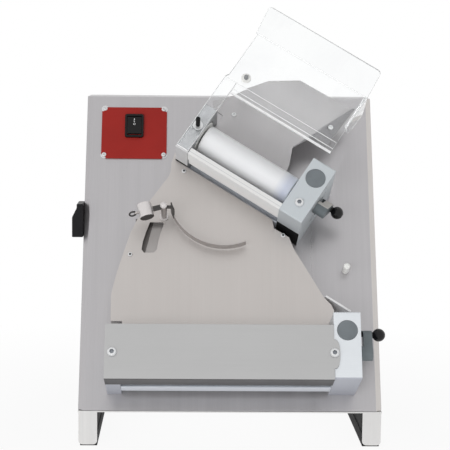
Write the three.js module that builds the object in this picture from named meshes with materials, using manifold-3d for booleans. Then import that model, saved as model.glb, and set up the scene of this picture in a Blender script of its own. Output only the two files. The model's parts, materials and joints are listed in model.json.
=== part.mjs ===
// Pizza dough roller machine for a pizzeria counter.
// A sheet-metal cabinet with a leaning front panel carries two pairs of rollers.
// The short upper pair is turned in the plane of the panel and flattens the ball of dough.
// The disc slides down the chute, is turned by a weighted rocker, and passes the long lower pair.
// Lengths are millimetres, +Z is up, the front faces -Y and +X is on the operator's right.

import * as THREE from 'three'
import { mergeVertices } from 'three/addons/utils/BufferGeometryUtils.js'
import Module from 'manifold-3d'

const wasm = await Module()
wasm.setup()

// Clearances shared by every piece
const seatGap = 0.3
const runningGap = 0.6
const cutOverrun = 5

// Cabinet
const cabinetWidth = 440
const cabinetDepth = 300
const panelLength = 495
const panelLeanDegrees = 26
const footHeight = 52
const sheetThickness = 2
const edgeBevelWidth = 8
const edgeBevelDepth = 6
const backRimWidth = 14
const ventLength = 62
const ventHeight = 5
const ventPitch = 13
const ventRows = 8
const ventColumnSpacing = 120
const ventCentreHeight = 330

// Runners under the cabinet
const runnerWidth = 28
const runnerInset = 1
const runnerFloorGap = 2
const runnerCornerRadius = 6
const runnerPadHeight = 18
const runnerPadStep = 1.5

// Control plate and switch, placed from the middle of the panel's lower edge
const controlPlateX = -146.6
const controlPlateY = 433.4
const controlPlateWidth = 100
const controlPlateHeight = 85
const controlPlateThickness = 2
const controlPlateNotchRadius = 7
const switchX = -146.6
const switchY = 443.7
const switchWidth = 28.4
const switchHeight = 37.8
const switchRise = 4.5
const switchFrameWidth = 3.2
const switchCornerRadius = 3
const switchTravelDegrees = 14
const switchRockerPlay = 0.9
const switchRockerBelly = 1
const switchRockerCrown = 1.8
const switchRockerDip = 0.8

// Socket box on the left wall
const socketBoxHeight = 50
const socketBoxLength = 46
const socketBoxReach = 16.5
const socketBoxFront = 116
const socketBoxFoot = 289

// Cable gland low on the back
const glandX = -160
const glandRise = 48
const glandFlangeRadius = 12
const glandBodyRadius = 9
const glandBoreRadius = 4.5
const glandFlangeThickness = 5
const glandReach = 16

// Stop peg on the panel
const pegX = 172.6
const pegY = 213.6
const pegRadius = 5
const pegReach = 27
const pegRounding = 2.5

// A roller unit: two rollers between a narrow left block and a wide right block
const rollerRadius = 22
const rollerEndGap = 1.2
const rollerEndChamfer = 2.5
const rollerAxisHeight = 43
const rearAxisReach = 29
const middleNip = 2.2
const blockHeight = 96
const blockReach = 104
const blockEdgeChamfer = 1.5
const leftBlockWidth = 21
const lowerLeftBlockHeight = 76
const upperLeftBlockHeight = 80.5
const rightBlockWidth = 38
const capRadius = 14.5
const capHeight = 69.3
const capDepth = 5
const capPocketDepth = 6.5
const shaftRadius = 9
const eccentricJournalRadius = 8
const eccentricOffset = 1.6
const eccentricPhaseDegrees = 25
const eccentricEndRadius = 6
const sleeveThickness = 2.2
const gearTeeth = 15
const gearWidth = 10
const gearEndGap = 1
const beltThickness = 3
const drivePulleyRadius = 20
const driveBeltWidth = 12
const pulleyFlangeRise = 4
const pulleyFlangeWidth = 2
const beltPocketWallWidth = 8

// Thickness lever and its pull knob, on the right of each unit
const leverWidth = 18
const leverHubRadius = 9
const leverArmLength = 37
const leverArmWidth = 17
const leverBlockGap = 0.8
const leverReliefDepth = 5.5
const leverBossLength = 4
const knobRadius = 9.3
const knobReach = 19.5
const knobArm = 31
const knobPinRadius = 2.6
const knobStemRadius = 4.5
const knobNeckDegrees = -60
const indexHoleRadius = 2.8
const indexHoleDepth = 2.5
const indexHoleCount = 5
const indexStepDegrees = 18
const lowestLeverDegrees = -70
const lowerLeverDegrees = -12
const upperLeverDegrees = -53

// Scrapers under the rollers
const scraperThickness = 2.5
const frontScraperHeight = 8
const frontScraperInset = 2
const frontScraperFloorReach = 44
const frontScraperBarWidth = 24
const frontScraperLap = 6
const rearScraperStart = 22
const rearScraperEnd = 42
const scraperLipGap = 1.2

// Lower unit
const lowerUnitX = 142.5
const lowerUnitY = 24.3
const lowerRollerSpace = 299.5

// Upper unit, turned clockwise as the operator sees it
const upperUnitX = 67.9
const upperUnitY = 273.6
const upperRollerSpace = 158
const upperUnitTurnDegrees = 33

// Cover over the lower rollers
const coverHeight = 76.6
const coverThickness = 2
const coverLipReach = 36
const coverEarReach = 8
const coverEarFootHeight = 13
const coverEarTopHeight = 56
const coverScrewHeight = 35.8
const screwHeadRadius = 6.8
const screwHeadHeight = 4
const screwSocketRadius = 2.6
const screwSocketDepth = 2.2
const screwRounding = 1.6
const upperScrewHeight = 24.4

// Clear guard over the upper rollers
const guardThickness = 4
const guardLegFoot = 1.4
const guardLegWidth = 20
const guardLowerEdge = 114
const guardBend = 132
const guardLipSetback = 1.8
const guardUpperEdge = 219.5
const guardSideStep = 3
const guardCornerRadius = 7
const guardRightOverhang = 16.5
const guardFlapLength = 47
const guardFlapTiltDegrees = 43
const guardFlapCornerRadius = 6
const guardCheekHeight = 58
const guardCheekReach = 62
const studWasherRadius = 7.4
const studWasherThickness = 2
const studPinRadius = 3.2
const lowerStudReach = 24
const upperStudReach = 15
const upperStudX = -149.8
const upperStudY = 145.3

// Feed plate behind the guard
const feedPlateThickness = 2
const feedPlateReach = 56
const feedPlateHeight = 148
const feedPlateWidth = 170
const feedWingSlope = 0.4
const feedPlateWebSpacing = 52

// Chute between the two pairs of rollers
const chuteReach = 48
const chuteWidth = 323
const chuteHeight = 290
const chuteLeft = -173.6
const chuteRollerGap = 2
const chuteBlockGap = 8
const slotPanDepth = 10
const slotPanLeft = -140
const slotPanFoot = 217
const slotPanWidth = 54
const slotPanHeight = 60
const guideBarThickness = 3
const guideBarLength = 43
const guideBarFootWidth = 9

// Rocker that turns the disc of dough
const pivotX = -98.5
const pivotY = 280
const pivotFootRadius = 6.5
const pivotFootThickness = 2.3
const pivotShankRadius = 2.4
const pivotHeadRadius = 5
const pivotHeadHeight = 5
const hubRadius = 5
const hubFootRadius = 3.8
const hubLength = 46
const bladeWidth = 17
const bladeThickness = 1.6
const bladeArcRadius = 82
const bladeArcStartDegrees = 197.7
const bladeArcEndDegrees = 293
const bladeTangRise = 6
const bladeTangGap = 4.9
const bladeTangShare = 0.09
const bladeGap = 3
const rockerArmDegrees = 15
const rockerLinkLength = 19
const rockerLinkWidth = 6
const rockerRodRadius = 2
const rockerRodLength = 43
const rockerEyeRadius = 4.6
const rockerEyeWireRadius = 1.3
const counterweightRadius = 10.5
const counterweightLength = 22
const counterweightArm = 27

// Drive inside the cabinet
const motorRadius = 50
const motorLength = 150
const motorBellLength = 18.75
const motorShaftSeat = 25
const motorY = 118
const motorDepth = 110
const motorPulleyRadius = 12
const motorShaftRadius = 7
const jackshaftDepth = 80
const crossBeltX = 137
const crossBeltWidth = 10
const roundBeltRadius = 2.5
const roundPulleyRadius = 18
const drivePlateThickness = 4
const drivePlateX = 121
const drivePlateTop = 345
const drivePlateBack = 245
const drivePlateFootWidth = 22

// Facets
const fineSides = 28
const plainSides = 16
const smallSides = 10
const cornerSteps = 4
const slotEndSteps = 2
const bladeArcSteps = 14
const knobSteps = 5
const flatBeltSteps = 10
const roundBeltSteps = 9
const roundBeltSides = 8
const wallDirections = 8

// Shares, chosen by hand, of the sizes that their outlines follow
const socketBoxShares = [[0, 0], [0, 1], [0.58, 1], [0.58, 0.88], [1, 0.6], [1, 0]]
const chuteLeftShares = [
  [0.002, 0], [0, 0.235], [0.004, 0.261], [0.024, 0.356], [0.054, 0.467], [0.083, 0.569],
  [0.11, 0.634], [0.156, 0.721], [0.203, 0.795], [0.249, 0.867]
]
const chuteTopShares = [[0.261, 0.897], [0.264, 0.947], [0.28, 1.003], [0.7, 0.8]]
const chuteRightShares = [
  [0.735, 0.594], [0.803, 0.546], [0.825, 0.482], [0.956, 0.229], [0.987, 0.193], [1, 0.162], [0.99, 0]
]
const chuteSlotShares = [
  [0.133, 0.476], [0.144, 0.459], [0.189, 0.46], [0.202, 0.476], [0.207, 0.515], [0.217, 0.562],
  [0.233, 0.612], [0.227, 0.621], [0.169, 0.622], [0.152, 0.57], [0.138, 0.518]
]
const guideBarShares = [0.9605, 0.2345]
const feedPlateShares = [
  [-0.928, 0], [-0.928, 0.066], [-1.076, 0.273], [-0.949, 0.45], [-0.904, 0.563], [-0.766, 0.78],
  [-0.534, 0.964], [-0.223, 0.972], [-0.069, 0.978], [-0.155, 0.505], [-0.246, 0.29], [-0.183, 0.113],
  [-0.165, 0]
]
const feedWingShares = [[-0.155, 0.505], [-0.069, 0.978], [0.018, 1.02], [-0.016, 0.5]]
const meanOffsetShare = 0.88
const gearAddendumShare = 0.8
const gearDedendumShare = 1.3
const toothRootShare = 0.28
const toothPitchShare = 0.2
const toothTipShare = 0.09
const blockPocketLowShare = 0.15
const blockPocketHighShare = 0.88
const leverBoreShare = 0.75
const feedWebShares = [-0.9, -0.26]
const counterweightEdgeShare = 0.9
const motorWaistShare = 0.9

// Derived sizes
const radians = THREE.MathUtils.degToRad
const lean = radians(panelLeanDegrees)
const upperTurn = radians(upperUnitTurnDegrees)
const topHeight = footHeight + panelLength * Math.cos(lean)
const halfWidth = cabinetWidth / 2
const middleAxisReach = rearAxisReach + 2 * rollerRadius + middleNip
const eccentricShaftHeight = rollerAxisHeight - meanOffsetShare * eccentricOffset
const sleeveBore = eccentricJournalRadius + runningGap
const rollerBore = sleeveBore + sleeveThickness + seatGap
const pulleyX = rightBlockWidth / 2
const wideBelt = { width: driveBeltWidth, pulleyRadius: drivePulleyRadius }
const roundBelt = { width: 3 * roundBeltRadius, pulleyRadius: roundPulleyRadius - roundBeltRadius }
const pocketReach = rearAxisReach + drivePulleyRadius + beltThickness + pulleyFlangeRise
const controlTop = seatGap + controlPlateThickness
const guardBack = blockReach + seatGap
const guardFront = guardBack + guardThickness

// Materials, as the photograph shows them
const materials = {
  steel: finish('#b9b7b4', 0.38, 0.85),
  chute: finish('#cfc8c2', 0.42, 0.75),
  aluminium: finish('#d3d8de', 0.4, 0.8),
  bright: finish('#d9dadb', 0.25, 0.95),
  roller: finish('#f1f1f2', 0.45, 0),
  grey: finish('#565b63', 0.55, 0),
  black: finish('#17181a', 0.5, 0),
  dark: finish('#3b4046', 0.5, 0.3),
  red: finish('#96221f', 0.4, 0),
  rubber: finish('#1b1b1c', 0.85, 0),
  nylon: finish('#f4f3ee', 0.5, 0),
  clear: finish('#eef1f2', 0.08, 0),
  motor: finish('#5f6d78', 0.5, 0.4)
}

function finish(colour, roughness, metalness) {
  return new THREE.MeshStandardMaterial({ color: colour, roughness, metalness })
}

// A closed body from any closed geometry: vertices merged, flat triangles dropped, faces outward
function body(geometry) {
  const bare = geometry.index ? geometry.toNonIndexed() : geometry.clone()
  bare.deleteAttribute('normal')
  bare.deleteAttribute('uv')
  const merged = mergeVertices(bare)
  const places = merged.attributes.position
  const corner = (i) => new THREE.Vector3().fromBufferAttribute(places, i)
  const triangles = []
  let volume = 0
  for (let i = 0; i < merged.index.count; i += 3) {
    const [a, b, c] = [0, 1, 2].map((step) => merged.index.getX(i + step))
    if (a === b || b === c || c === a) continue
    volume += corner(a).dot(corner(b).cross(corner(c)))
    triangles.push([a, b, c])
  }
  const outward = volume > 0 ? triangles : triangles.map(([a, b, c]) => [a, c, b])
  return new wasm.Manifold(new wasm.Mesh({
    numProp: 3,
    vertProperties: Float32Array.from(places.array),
    triVerts: Uint32Array.from(outward.flat())
  }))
}

function geometryOf(manifold) {
  const mesh = manifold.getMesh()
  const geometry = new THREE.BufferGeometry()
  geometry.setAttribute('position', new THREE.BufferAttribute(Float32Array.from(mesh.vertProperties), 3))
  geometry.setIndex(new THREE.BufferAttribute(Uint32Array.from(mesh.triVerts), 1))
  geometry.computeVertexNormals()
  return geometry
}

function join(first, ...others) {
  return geometryOf(others.reduce((whole, piece) => whole.add(body(piece)), body(first)))
}

function cut(first, ...tools) {
  return geometryOf(tools.reduce((whole, tool) => whole.subtract(body(tool)), body(first)))
}

function block(x0, x1, y0, y1, z0, z1) {
  const geometry = new THREE.BoxGeometry(x1 - x0, y1 - y0, z1 - z0)
  return geometry.translate((x0 + x1) / 2, (y0 + y1) / 2, (z0 + z1) / 2)
}

function outline(points) {
  return new THREE.Shape(points.map(([x, y]) => new THREE.Vector2(x, y)))
}

// An outline in X and Y, drawn out along Z
function plate(shape, z0, z1, steps = cornerSteps) {
  const settings = { depth: z1 - z0, bevelEnabled: false, curveSegments: steps }
  return new THREE.ExtrudeGeometry(shape, settings).translate(0, 0, z0)
}

// An outline in Y and Z, drawn out along X
function prismAlongX(shape, x0, x1) {
  const axes = [new THREE.Vector3(0, 1, 0), new THREE.Vector3(0, 0, 1), new THREE.Vector3(1, 0, 0)]
  return plate(shape, x0, x1).applyMatrix4(new THREE.Matrix4().makeBasis(...axes))
}

// An outline in Z and X, drawn out along Y
function prismAlongY(shape, y0, y1) {
  const axes = [new THREE.Vector3(0, 0, 1), new THREE.Vector3(1, 0, 0), new THREE.Vector3(0, 1, 0)]
  return plate(shape, y0, y1).applyMatrix4(new THREE.Matrix4().makeBasis(...axes))
}

function rodAlongX(radius, x0, x1, y, z, sides = plainSides) {
  const rod = new THREE.CylinderGeometry(radius, radius, x1 - x0, sides)
  return rod.rotateZ(-Math.PI / 2).translate((x0 + x1) / 2, y, z)
}

function rodAlongZ(radius, z0, z1, x, y, sides = plainSides) {
  const rod = new THREE.CylinderGeometry(radius, radius, z1 - z0, sides)
  return rod.rotateX(Math.PI / 2).translate(x, y, (z0 + z1) / 2)
}

// A profile of [radius, place along the axis], turned about X, Y or Z
function turned(profile, axis, sides = plainSides) {
  const lathe = new THREE.LatheGeometry(profile.map(([r, along]) => new THREE.Vector2(r, along)), sides)
  if (axis === 'x') lathe.rotateZ(-Math.PI / 2)
  if (axis === 'z') lathe.rotateX(Math.PI / 2)
  return lathe
}

function ring(inner, outer, start, end, axis, sides = plainSides) {
  return turned([[inner, start], [outer, start], [outer, end], [inner, end], [inner, start]], axis, sides)
}

function roundedBox(x0, y0, x1, y1, radius) {
  const shape = new THREE.Shape()
  shape.moveTo(x0 + radius, y0)
  shape.lineTo(x1 - radius, y0)
  shape.absarc(x1 - radius, y0 + radius, radius, -Math.PI / 2, 0)
  shape.lineTo(x1, y1 - radius)
  shape.absarc(x1 - radius, y1 - radius, radius, 0, Math.PI / 2)
  shape.lineTo(x0 + radius, y1)
  shape.absarc(x0 + radius, y1 - radius, radius, Math.PI / 2, Math.PI)
  shape.lineTo(x0, y0 + radius)
  shape.absarc(x0 + radius, y0 + radius, radius, Math.PI, 1.5 * Math.PI)
  return shape
}

// Keeps a share table's points in step with the sizes they follow
function sized(shares, x, y, width, height) {
  return shares.map(([across, up]) => [x + across * width, y + up * height])
}

// Frames: the panel's frame has X across, Y up the slope and Z straight out of the panel
const machine = new THREE.Group()
const panelFrame = new THREE.Group()
panelFrame.position.z = footHeight
panelFrame.rotation.x = Math.PI / 2 - lean
machine.add(panelFrame)

function unitFrame(x, y, turn) {
  const frame = new THREE.Group()
  frame.position.set(x, y, 0)
  frame.rotation.z = -turn
  panelFrame.add(frame)
  return frame
}

const lowerFrame = unitFrame(lowerUnitX, lowerUnitY, 0)
const upperFrame = unitFrame(upperUnitX, upperUnitY, upperTurn)

function add(frame, name, geometry, material) {
  const mesh = new THREE.Mesh(geometryOf(body(geometry)), material)
  mesh.name = name
  frame.add(mesh)
}

// Moves a geometry drawn in one frame into the frame that holds it
function toMachine(geometry, frame) {
  machine.updateMatrixWorld(true)
  return geometry.clone().applyMatrix4(frame.matrixWorld)
}

function toPanel(geometry, frame) {
  frame.updateMatrix()
  return geometry.clone().applyMatrix4(frame.matrix)
}

// Front of the leaning panel at a height, moved inward by a wall's thickness
function frontAt(height, inset) {
  return (height - footHeight) * Math.tan(lean) + inset / Math.cos(lean)
}

// A point of the panel's frame as Y and Z of the machine
function fromPanel(up, out) {
  const y = up * Math.sin(lean) - out * Math.cos(lean)
  return [y, footHeight + up * Math.cos(lean) + out * Math.sin(lean)]
}

// Cabinet

function bevelWedge(side, inset) {
  const edge = side * (halfWidth - inset)
  const points = [
    [-inset, edge - side * edgeBevelWidth],
    [-inset - edgeBevelDepth, edge],
    [-inset - edgeBevelDepth, edge + side * cutOverrun],
    [cutOverrun, edge + side * cutOverrun],
    [cutOverrun, edge - side * edgeBevelWidth]
  ]
  const wedge = prismAlongY(outline(points), -4 * cutOverrun, panelLength + cutOverrun)
  return toMachine(wedge, panelFrame)
}

function cabinetForm(inset, foot, back) {
  const top = topHeight - inset
  const profile = [[frontAt(foot, inset), foot], [back, foot], [back, top], [frontAt(top, inset), top]]
  const form = prismAlongX(outline(profile), inset - halfWidth, halfWidth - inset)
  return cut(form, bevelWedge(-1, inset), bevelWedge(1, inset))
}

// The belts reach the roller units through a window behind each right block
function beltPocket(z0, z1, margin) {
  const [low, high] = [blockPocketLowShare * blockHeight, blockPocketHighShare * blockHeight]
  const wall = beltPocketWallWidth
  return block(wall + margin, rightBlockWidth - wall - margin, low + margin, high - margin, z0, z1)
}

function cabinetShell() {
  const cavity = cabinetForm(sheetThickness, footHeight - cutOverrun, cabinetDepth - sheetThickness)
  const rim = halfWidth - backRimWidth
  const backWindow = block(-rim, rim, cabinetDepth - sheetThickness - cutOverrun, cabinetDepth + cutOverrun,
    footHeight + backRimWidth, topHeight - backRimWidth)
  const windows = [lowerFrame, upperFrame].map((frame) => {
    return toMachine(beltPocket(-sheetThickness - cutOverrun, cutOverrun, 0), frame)
  })
  return cut(cabinetForm(0, footHeight, cabinetDepth), cavity, backWindow, ...windows)
}

function backCover() {
  const edge = halfWidth - sheetThickness - seatGap
  const [low, high] = [footHeight + sheetThickness, topHeight - sheetThickness]
  const cover = roundedBox(-edge, low, edge, high, runnerCornerRadius)
  const slotRadius = ventHeight / 2
  for (const side of [-1, 1]) {
    for (let row = 0; row < ventRows; row += 1) {
      const x = side * ventColumnSpacing / 2
      const z = ventCentreHeight + (row - (ventRows - 1) / 2) * ventPitch
      const half = ventLength / 2
      cover.holes.push(roundedBox(x - half, z - slotRadius, x + half, z + slotRadius, slotRadius))
    }
  }
  const standing = plate(cover, 0, sheetThickness, slotEndSteps).rotateX(Math.PI / 2)
  return standing.translate(0, cabinetDepth + seatGap + sheetThickness, 0)
}

function runner(side) {
  const top = footHeight - seatGap - sheetThickness / 2
  const outer = halfWidth - runnerInset
  const inner = halfWidth - runnerWidth
  const flange = roundedBox(inner, runnerFloorGap, outer, top + runnerCornerRadius, runnerCornerRadius)
  const front = plate(flange, 0, sheetThickness).rotateX(Math.PI / 2)
  const [capLeft, capRight] = [inner - cutOverrun, outer + cutOverrun]
  const cap = block(capLeft, capRight, -cutOverrun, cutOverrun, top, footHeight + cutOverrun)
  const trimmed = cut(front.translate(0, sheetThickness, 0), cap)
  const rear = trimmed.clone().translate(0, cabinetDepth - sheetThickness, 0)
  const wallFoot = runnerCornerRadius + runnerFloorGap
  const wall = block(outer - sheetThickness, outer, 0, cabinetDepth, wallFoot, top)
  const whole = join(trimmed, wall, rear)
  return side > 0 ? whole : whole.scale(-1, 1, 1)
}

function baseFrame() {
  const floor = block(-halfWidth, halfWidth, 0, cabinetDepth, footHeight - seatGap - sheetThickness,
    footHeight - seatGap)
  return join(floor, runner(-1), runner(1))
}

function runnerPad(side) {
  const outer = halfWidth - runnerInset - sheetThickness - seatGap
  const inner = halfWidth - runnerWidth
  const [front, back] = [sheetThickness + seatGap, cabinetDepth - sheetThickness - seatGap]
  const top = footHeight - 2 * seatGap - sheetThickness
  const low = block(inner, outer, front, back, 0, runnerPadHeight)
  const high = block(inner + runnerPadStep, outer, front, back, runnerPadHeight / 2, top)
  const whole = join(low, high)
  return side > 0 ? whole : whole.scale(-1, 1, 1)
}

// Controls on the panel

function controlPlate() {
  const [x0, x1] = [controlPlateX - controlPlateWidth / 2, controlPlateX + controlPlateWidth / 2]
  const [y0, y1] = [controlPlateY - controlPlateHeight / 2, controlPlateY + controlPlateHeight / 2]
  const notch = controlPlateNotchRadius
  const shape = new THREE.Shape()
  shape.moveTo(x0 + notch, y0)
  shape.lineTo(x1 - notch, y0)
  shape.absarc(x1, y0, notch, Math.PI, Math.PI / 2, true)
  shape.lineTo(x1, y1 - notch)
  shape.absarc(x1, y1, notch, -Math.PI / 2, -Math.PI, true)
  shape.lineTo(x0 + notch, y1)
  shape.absarc(x0, y1, notch, 0, -Math.PI / 2, true)
  shape.lineTo(x0, y0 + notch)
  shape.absarc(x0, y0, notch, Math.PI / 2, 0, true)
  return plate(shape, seatGap, controlTop)
}

const switchBase = controlTop + seatGap
const switchAxisReach = switchBase + switchRise - switchRockerBelly

function switchHousing() {
  const [w, h] = [switchWidth / 2, switchHeight / 2]
  const shape = roundedBox(-w, -h, w, h, switchCornerRadius)
  const [iw, ih] = [w - switchFrameWidth, h - switchFrameWidth]
  shape.holes.push(outline([[-iw, -ih], [iw, -ih], [iw, ih], [-iw, ih]]))
  return plate(shape, switchBase, switchBase + switchRise).translate(switchX, switchY, 0)
}

function switchRocker() {
  const half = switchHeight / 2 - switchFrameWidth - switchRockerPlay
  const width = switchWidth / 2 - switchFrameWidth - seatGap
  const profile = outline([
    [-half, -switchRockerBelly], [half, -switchRockerBelly], [half, switchRockerCrown],
    [0, switchRockerDip], [-half, switchRockerCrown]
  ])
  const rocker = prismAlongX(profile, -width, width).rotateX(radians(-switchTravelDegrees / 2))
  return rocker.translate(switchX, switchY, switchAxisReach)
}

function socketBox() {
  const wall = -halfWidth - seatGap
  const points = socketBoxShares.map(([out, up]) => {
    return [socketBoxFoot + up * socketBoxHeight, wall - out * socketBoxReach]
  })
  return prismAlongY(outline(points), socketBoxFront, socketBoxFront + socketBoxLength)
}

function cableGland() {
  const face = cabinetDepth + 2 * seatGap + sheetThickness
  const neck = face + glandFlangeThickness
  const profile = [
    [glandBoreRadius, face], [glandFlangeRadius, face], [glandFlangeRadius, neck],
    [glandBodyRadius, neck], [glandBodyRadius, face + glandReach - glandFlangeThickness],
    [glandBoreRadius + sheetThickness, face + glandReach], [glandBoreRadius, face + glandReach],
    [glandBoreRadius, face]
  ]
  return turned(profile, 'y').translate(glandX, 0, footHeight + glandRise)
}

function stopPeg() {
  const profile = [
    [0, seatGap], [pegRadius, seatGap], [pegRadius, pegReach - pegRounding],
    [pegRadius - pegRounding / 2, pegReach - pegRounding / 4],
    [pegRadius - pegRounding, pegReach], [0, pegReach]
  ]
  return turned(profile, 'z').translate(pegX, pegY, 0)
}

// Roller units, each drawn from the lower inner corner of its right block

// Where the front roller's axis stands for a lever angle: the eccentric carries it round a small arc
function frontAxis(leverDegrees) {
  const angle = radians(leverDegrees + eccentricPhaseDegrees)
  const [up, out] = [eccentricOffset * Math.cos(angle), eccentricOffset * Math.sin(angle)]
  return [eccentricShaftHeight + up, middleAxisReach + out]
}

function chamferedBlock(x0, x1, height) {
  const [back, front, edge] = [seatGap, blockReach, blockEdgeChamfer]
  const points = [
    [0, back], [height, back], [height, front - edge], [height - edge, front],
    [edge, front], [0, front - edge]
  ]
  return prismAlongX(outline(points), x0, x1)
}

const gearModule = (middleAxisReach - rearAxisReach) / gearTeeth
const gearTipRadius = gearModule * (gearTeeth / 2 + gearAddendumShare)

// Slot with round ends, wide enough for a round piece on either axis
function stadiumAlongX(radius, x0, x1, z0, z1) {
  const shape = new THREE.Shape()
  shape.absarc(rollerAxisHeight, z0, radius, Math.PI, 1.5 * Math.PI)
  shape.absarc(rollerAxisHeight, z0, radius, 1.5 * Math.PI, 2 * Math.PI)
  shape.absarc(rollerAxisHeight, z1, radius, 0, Math.PI / 2)
  shape.absarc(rollerAxisHeight, z1, radius, Math.PI / 2, Math.PI)
  return prismAlongX(shape, x0, x1)
}

function leftBlock(space, height) {
  const [outer, inner] = [-space - leftBlockWidth, -space]
  const pocket = inner - gearWidth - 2 * gearEndGap
  const reach = gearTipRadius + runningGap + eccentricOffset
  const gearRoom = stadiumAlongX(reach, pocket, inner + cutOverrun, rearAxisReach, middleAxisReach)
  const mouth = outer - cutOverrun
  const shaftBore = rodAlongX(shaftRadius + runningGap, mouth, inner, rollerAxisHeight, rearAxisReach)
  const journalBore = rodAlongX(eccentricJournalRadius + runningGap, mouth, inner,
    eccentricShaftHeight, middleAxisReach)
  return cut(chamferedBlock(outer, inner, height), gearRoom, shaftBore, journalBore)
}

// Holes for the knob's pin, one of them under the lever as it stands
function indexHoles(leverDegrees) {
  const below = Math.floor((leverDegrees - lowestLeverDegrees) / indexStepDegrees)
  return Array.from({ length: indexHoleCount }, (_, i) => {
    const angle = radians(leverDegrees + (i - below) * indexStepDegrees)
    const y = eccentricShaftHeight + knobArm * Math.cos(angle)
    const z = middleAxisReach + knobArm * Math.sin(angle)
    const [floor, mouth] = [rightBlockWidth - indexHoleDepth, rightBlockWidth + cutOverrun]
    return rodAlongX(indexHoleRadius, floor, mouth, y, z, smallSides)
  })
}

function rightBlock(leverDegrees) {
  const [start, end] = [-cutOverrun, rightBlockWidth + cutOverrun]
  const shaftBore = rodAlongX(shaftRadius + runningGap, start, end, rollerAxisHeight, rearAxisReach)
  const journalBore = rodAlongX(eccentricJournalRadius + runningGap, start, end,
    eccentricShaftHeight, middleAxisReach)
  const capPocket = rodAlongZ(capRadius + seatGap, blockReach - capPocketDepth, blockReach + cutOverrun,
    rightBlockWidth / 2, capHeight, fineSides)
  const pocket = beltPocket(-cutOverrun, pocketReach, 0)
  const form = chamferedBlock(0, rightBlockWidth, blockHeight)
  return cut(form, shaftBore, journalBore, capPocket, pocket, ...indexHoles(leverDegrees))
}

function blockCap() {
  const [base, face] = [blockReach - capDepth, blockReach + seatGap]
  const profile = [
    [0, base], [capRadius, base], [capRadius, face - seatGap], [capRadius - seatGap, face], [0, face]
  ]
  return turned(profile, 'z', fineSides).translate(rightBlockWidth / 2, capHeight, 0)
}

function roller(space, bore) {
  const [start, end, edge] = [rollerEndGap - space, -rollerEndGap, rollerEndChamfer]
  const profile = [
    [bore, start], [rollerRadius - edge, start], [rollerRadius, start + edge], [rollerRadius, end - edge],
    [rollerRadius - edge, end], [bore, end], [bore, start]
  ]
  return turned(profile, 'x', fineSides)
}

// Flanged pulley as a stretch of a shaft's turned profile
function pulleySteps(middle, beltWidth, radius, shaft) {
  const half = beltWidth / 2 + seatGap
  const [rim, seat, flange] = [radius + pulleyFlangeRise, radius - seatGap, pulleyFlangeWidth]
  const [start, end] = [middle - half, middle + half]
  return [
    [shaft, start - flange], [rim, start - flange], [rim, start], [seat, start],
    [seat, end], [rim, end], [rim, end + flange], [shaft, end + flange]
  ]
}

// The rear shaft carries the belt pulley between the right block's walls
function rearShaft(space, belt) {
  const [start, end] = [-space - leftBlockWidth + rollerEndGap, rightBlockWidth - rollerEndGap]
  const pulley = pulleySteps(pulleyX, belt.width, belt.pulleyRadius, shaftRadius)
  return turned([[0, start], [shaftRadius, start], ...pulley, [shaftRadius, end], [0, end]], 'x')
}

function gear(space, bore) {
  const pitchAngle = 2 * Math.PI / gearTeeth
  const pitchRadius = gearModule * gearTeeth / 2
  const rootRadius = pitchRadius - gearDedendumShare * gearModule
  const flanks = [
    [rootRadius, -toothRootShare], [pitchRadius, -toothPitchShare], [gearTipRadius, -toothTipShare],
    [gearTipRadius, toothTipShare], [pitchRadius, toothPitchShare], [rootRadius, toothRootShare]
  ]
  const points = []
  for (let tooth = 0; tooth < gearTeeth; tooth += 1) {
    for (const [radius, share] of flanks) {
      const angle = Math.PI / 2 + (tooth + share) * pitchAngle
      points.push([radius * Math.cos(angle), radius * Math.sin(angle)])
    }
  }
  const end = -space - gearEndGap
  const blank = prismAlongX(outline(points), end - gearWidth, end)
  return cut(blank, rodAlongX(bore, end - gearWidth - cutOverrun, end + cutOverrun, 0, 0))
}

// Journals turn in the blocks, and the offset middle carries the roller
function eccentricShaft(space, leverDegrees) {
  const [frontHeight, frontReach] = frontAxis(leverDegrees)
  const start = -space - leftBlockWidth + rollerEndGap
  const leftEnd = -space - 2 * gearEndGap - gearWidth
  const hubStart = rightBlockWidth + leverBlockGap
  const journals = [
    rodAlongX(eccentricJournalRadius, start, leftEnd + seatGap, 0, 0),
    rodAlongX(eccentricJournalRadius, -seatGap, hubStart, 0, 0),
    rodAlongX(eccentricEndRadius, hubStart - cutOverrun, hubStart + leverBoreShare * leverWidth, 0, 0)
  ]
  const [offsetY, offsetZ] = [frontHeight - eccentricShaftHeight, frontReach - middleAxisReach]
  const middle = rodAlongX(eccentricJournalRadius, leftEnd, 0, offsetY, offsetZ)
  return join(middle, ...journals).translate(0, eccentricShaftHeight, middleAxisReach)
}

function thicknessLever(leverDegrees) {
  const shape = new THREE.Shape()
  const [hub, half] = [leverHubRadius, leverArmWidth / 2]
  shape.absarc(0, 0, hub, Math.PI / 2, Math.PI)
  shape.absarc(0, 0, hub, Math.PI, 1.5 * Math.PI)
  shape.lineTo(leverArmLength - half, -half)
  shape.absarc(leverArmLength - half, 0, half, -Math.PI / 2, 0)
  shape.absarc(leverArmLength - half, 0, half, 0, Math.PI / 2)
  const [start, end] = [rightBlockWidth + leverBlockGap, rightBlockWidth + leverBlockGap + leverWidth]
  const arm = prismAlongX(shape, start, end)
  const relief = block(start - cutOverrun, start + leverReliefDepth, hub, leverArmLength - leverBossLength,
    -half - cutOverrun, half + cutOverrun)
  const boreEnd = start + leverBoreShare * leverWidth + seatGap
  const shaftBore = rodAlongX(eccentricEndRadius + seatGap, start - cutOverrun, boreEnd, 0, 0)
  const [mouth, exit] = [start - cutOverrun, end + cutOverrun]
  const pinBore = rodAlongX(knobPinRadius + seatGap, mouth, exit, knobArm, 0, smallSides)
  const lever = cut(arm, relief, shaftBore, pinBore)
  return lever.rotateX(radians(leverDegrees)).translate(0, eccentricShaftHeight, middleAxisReach)
}

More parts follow.
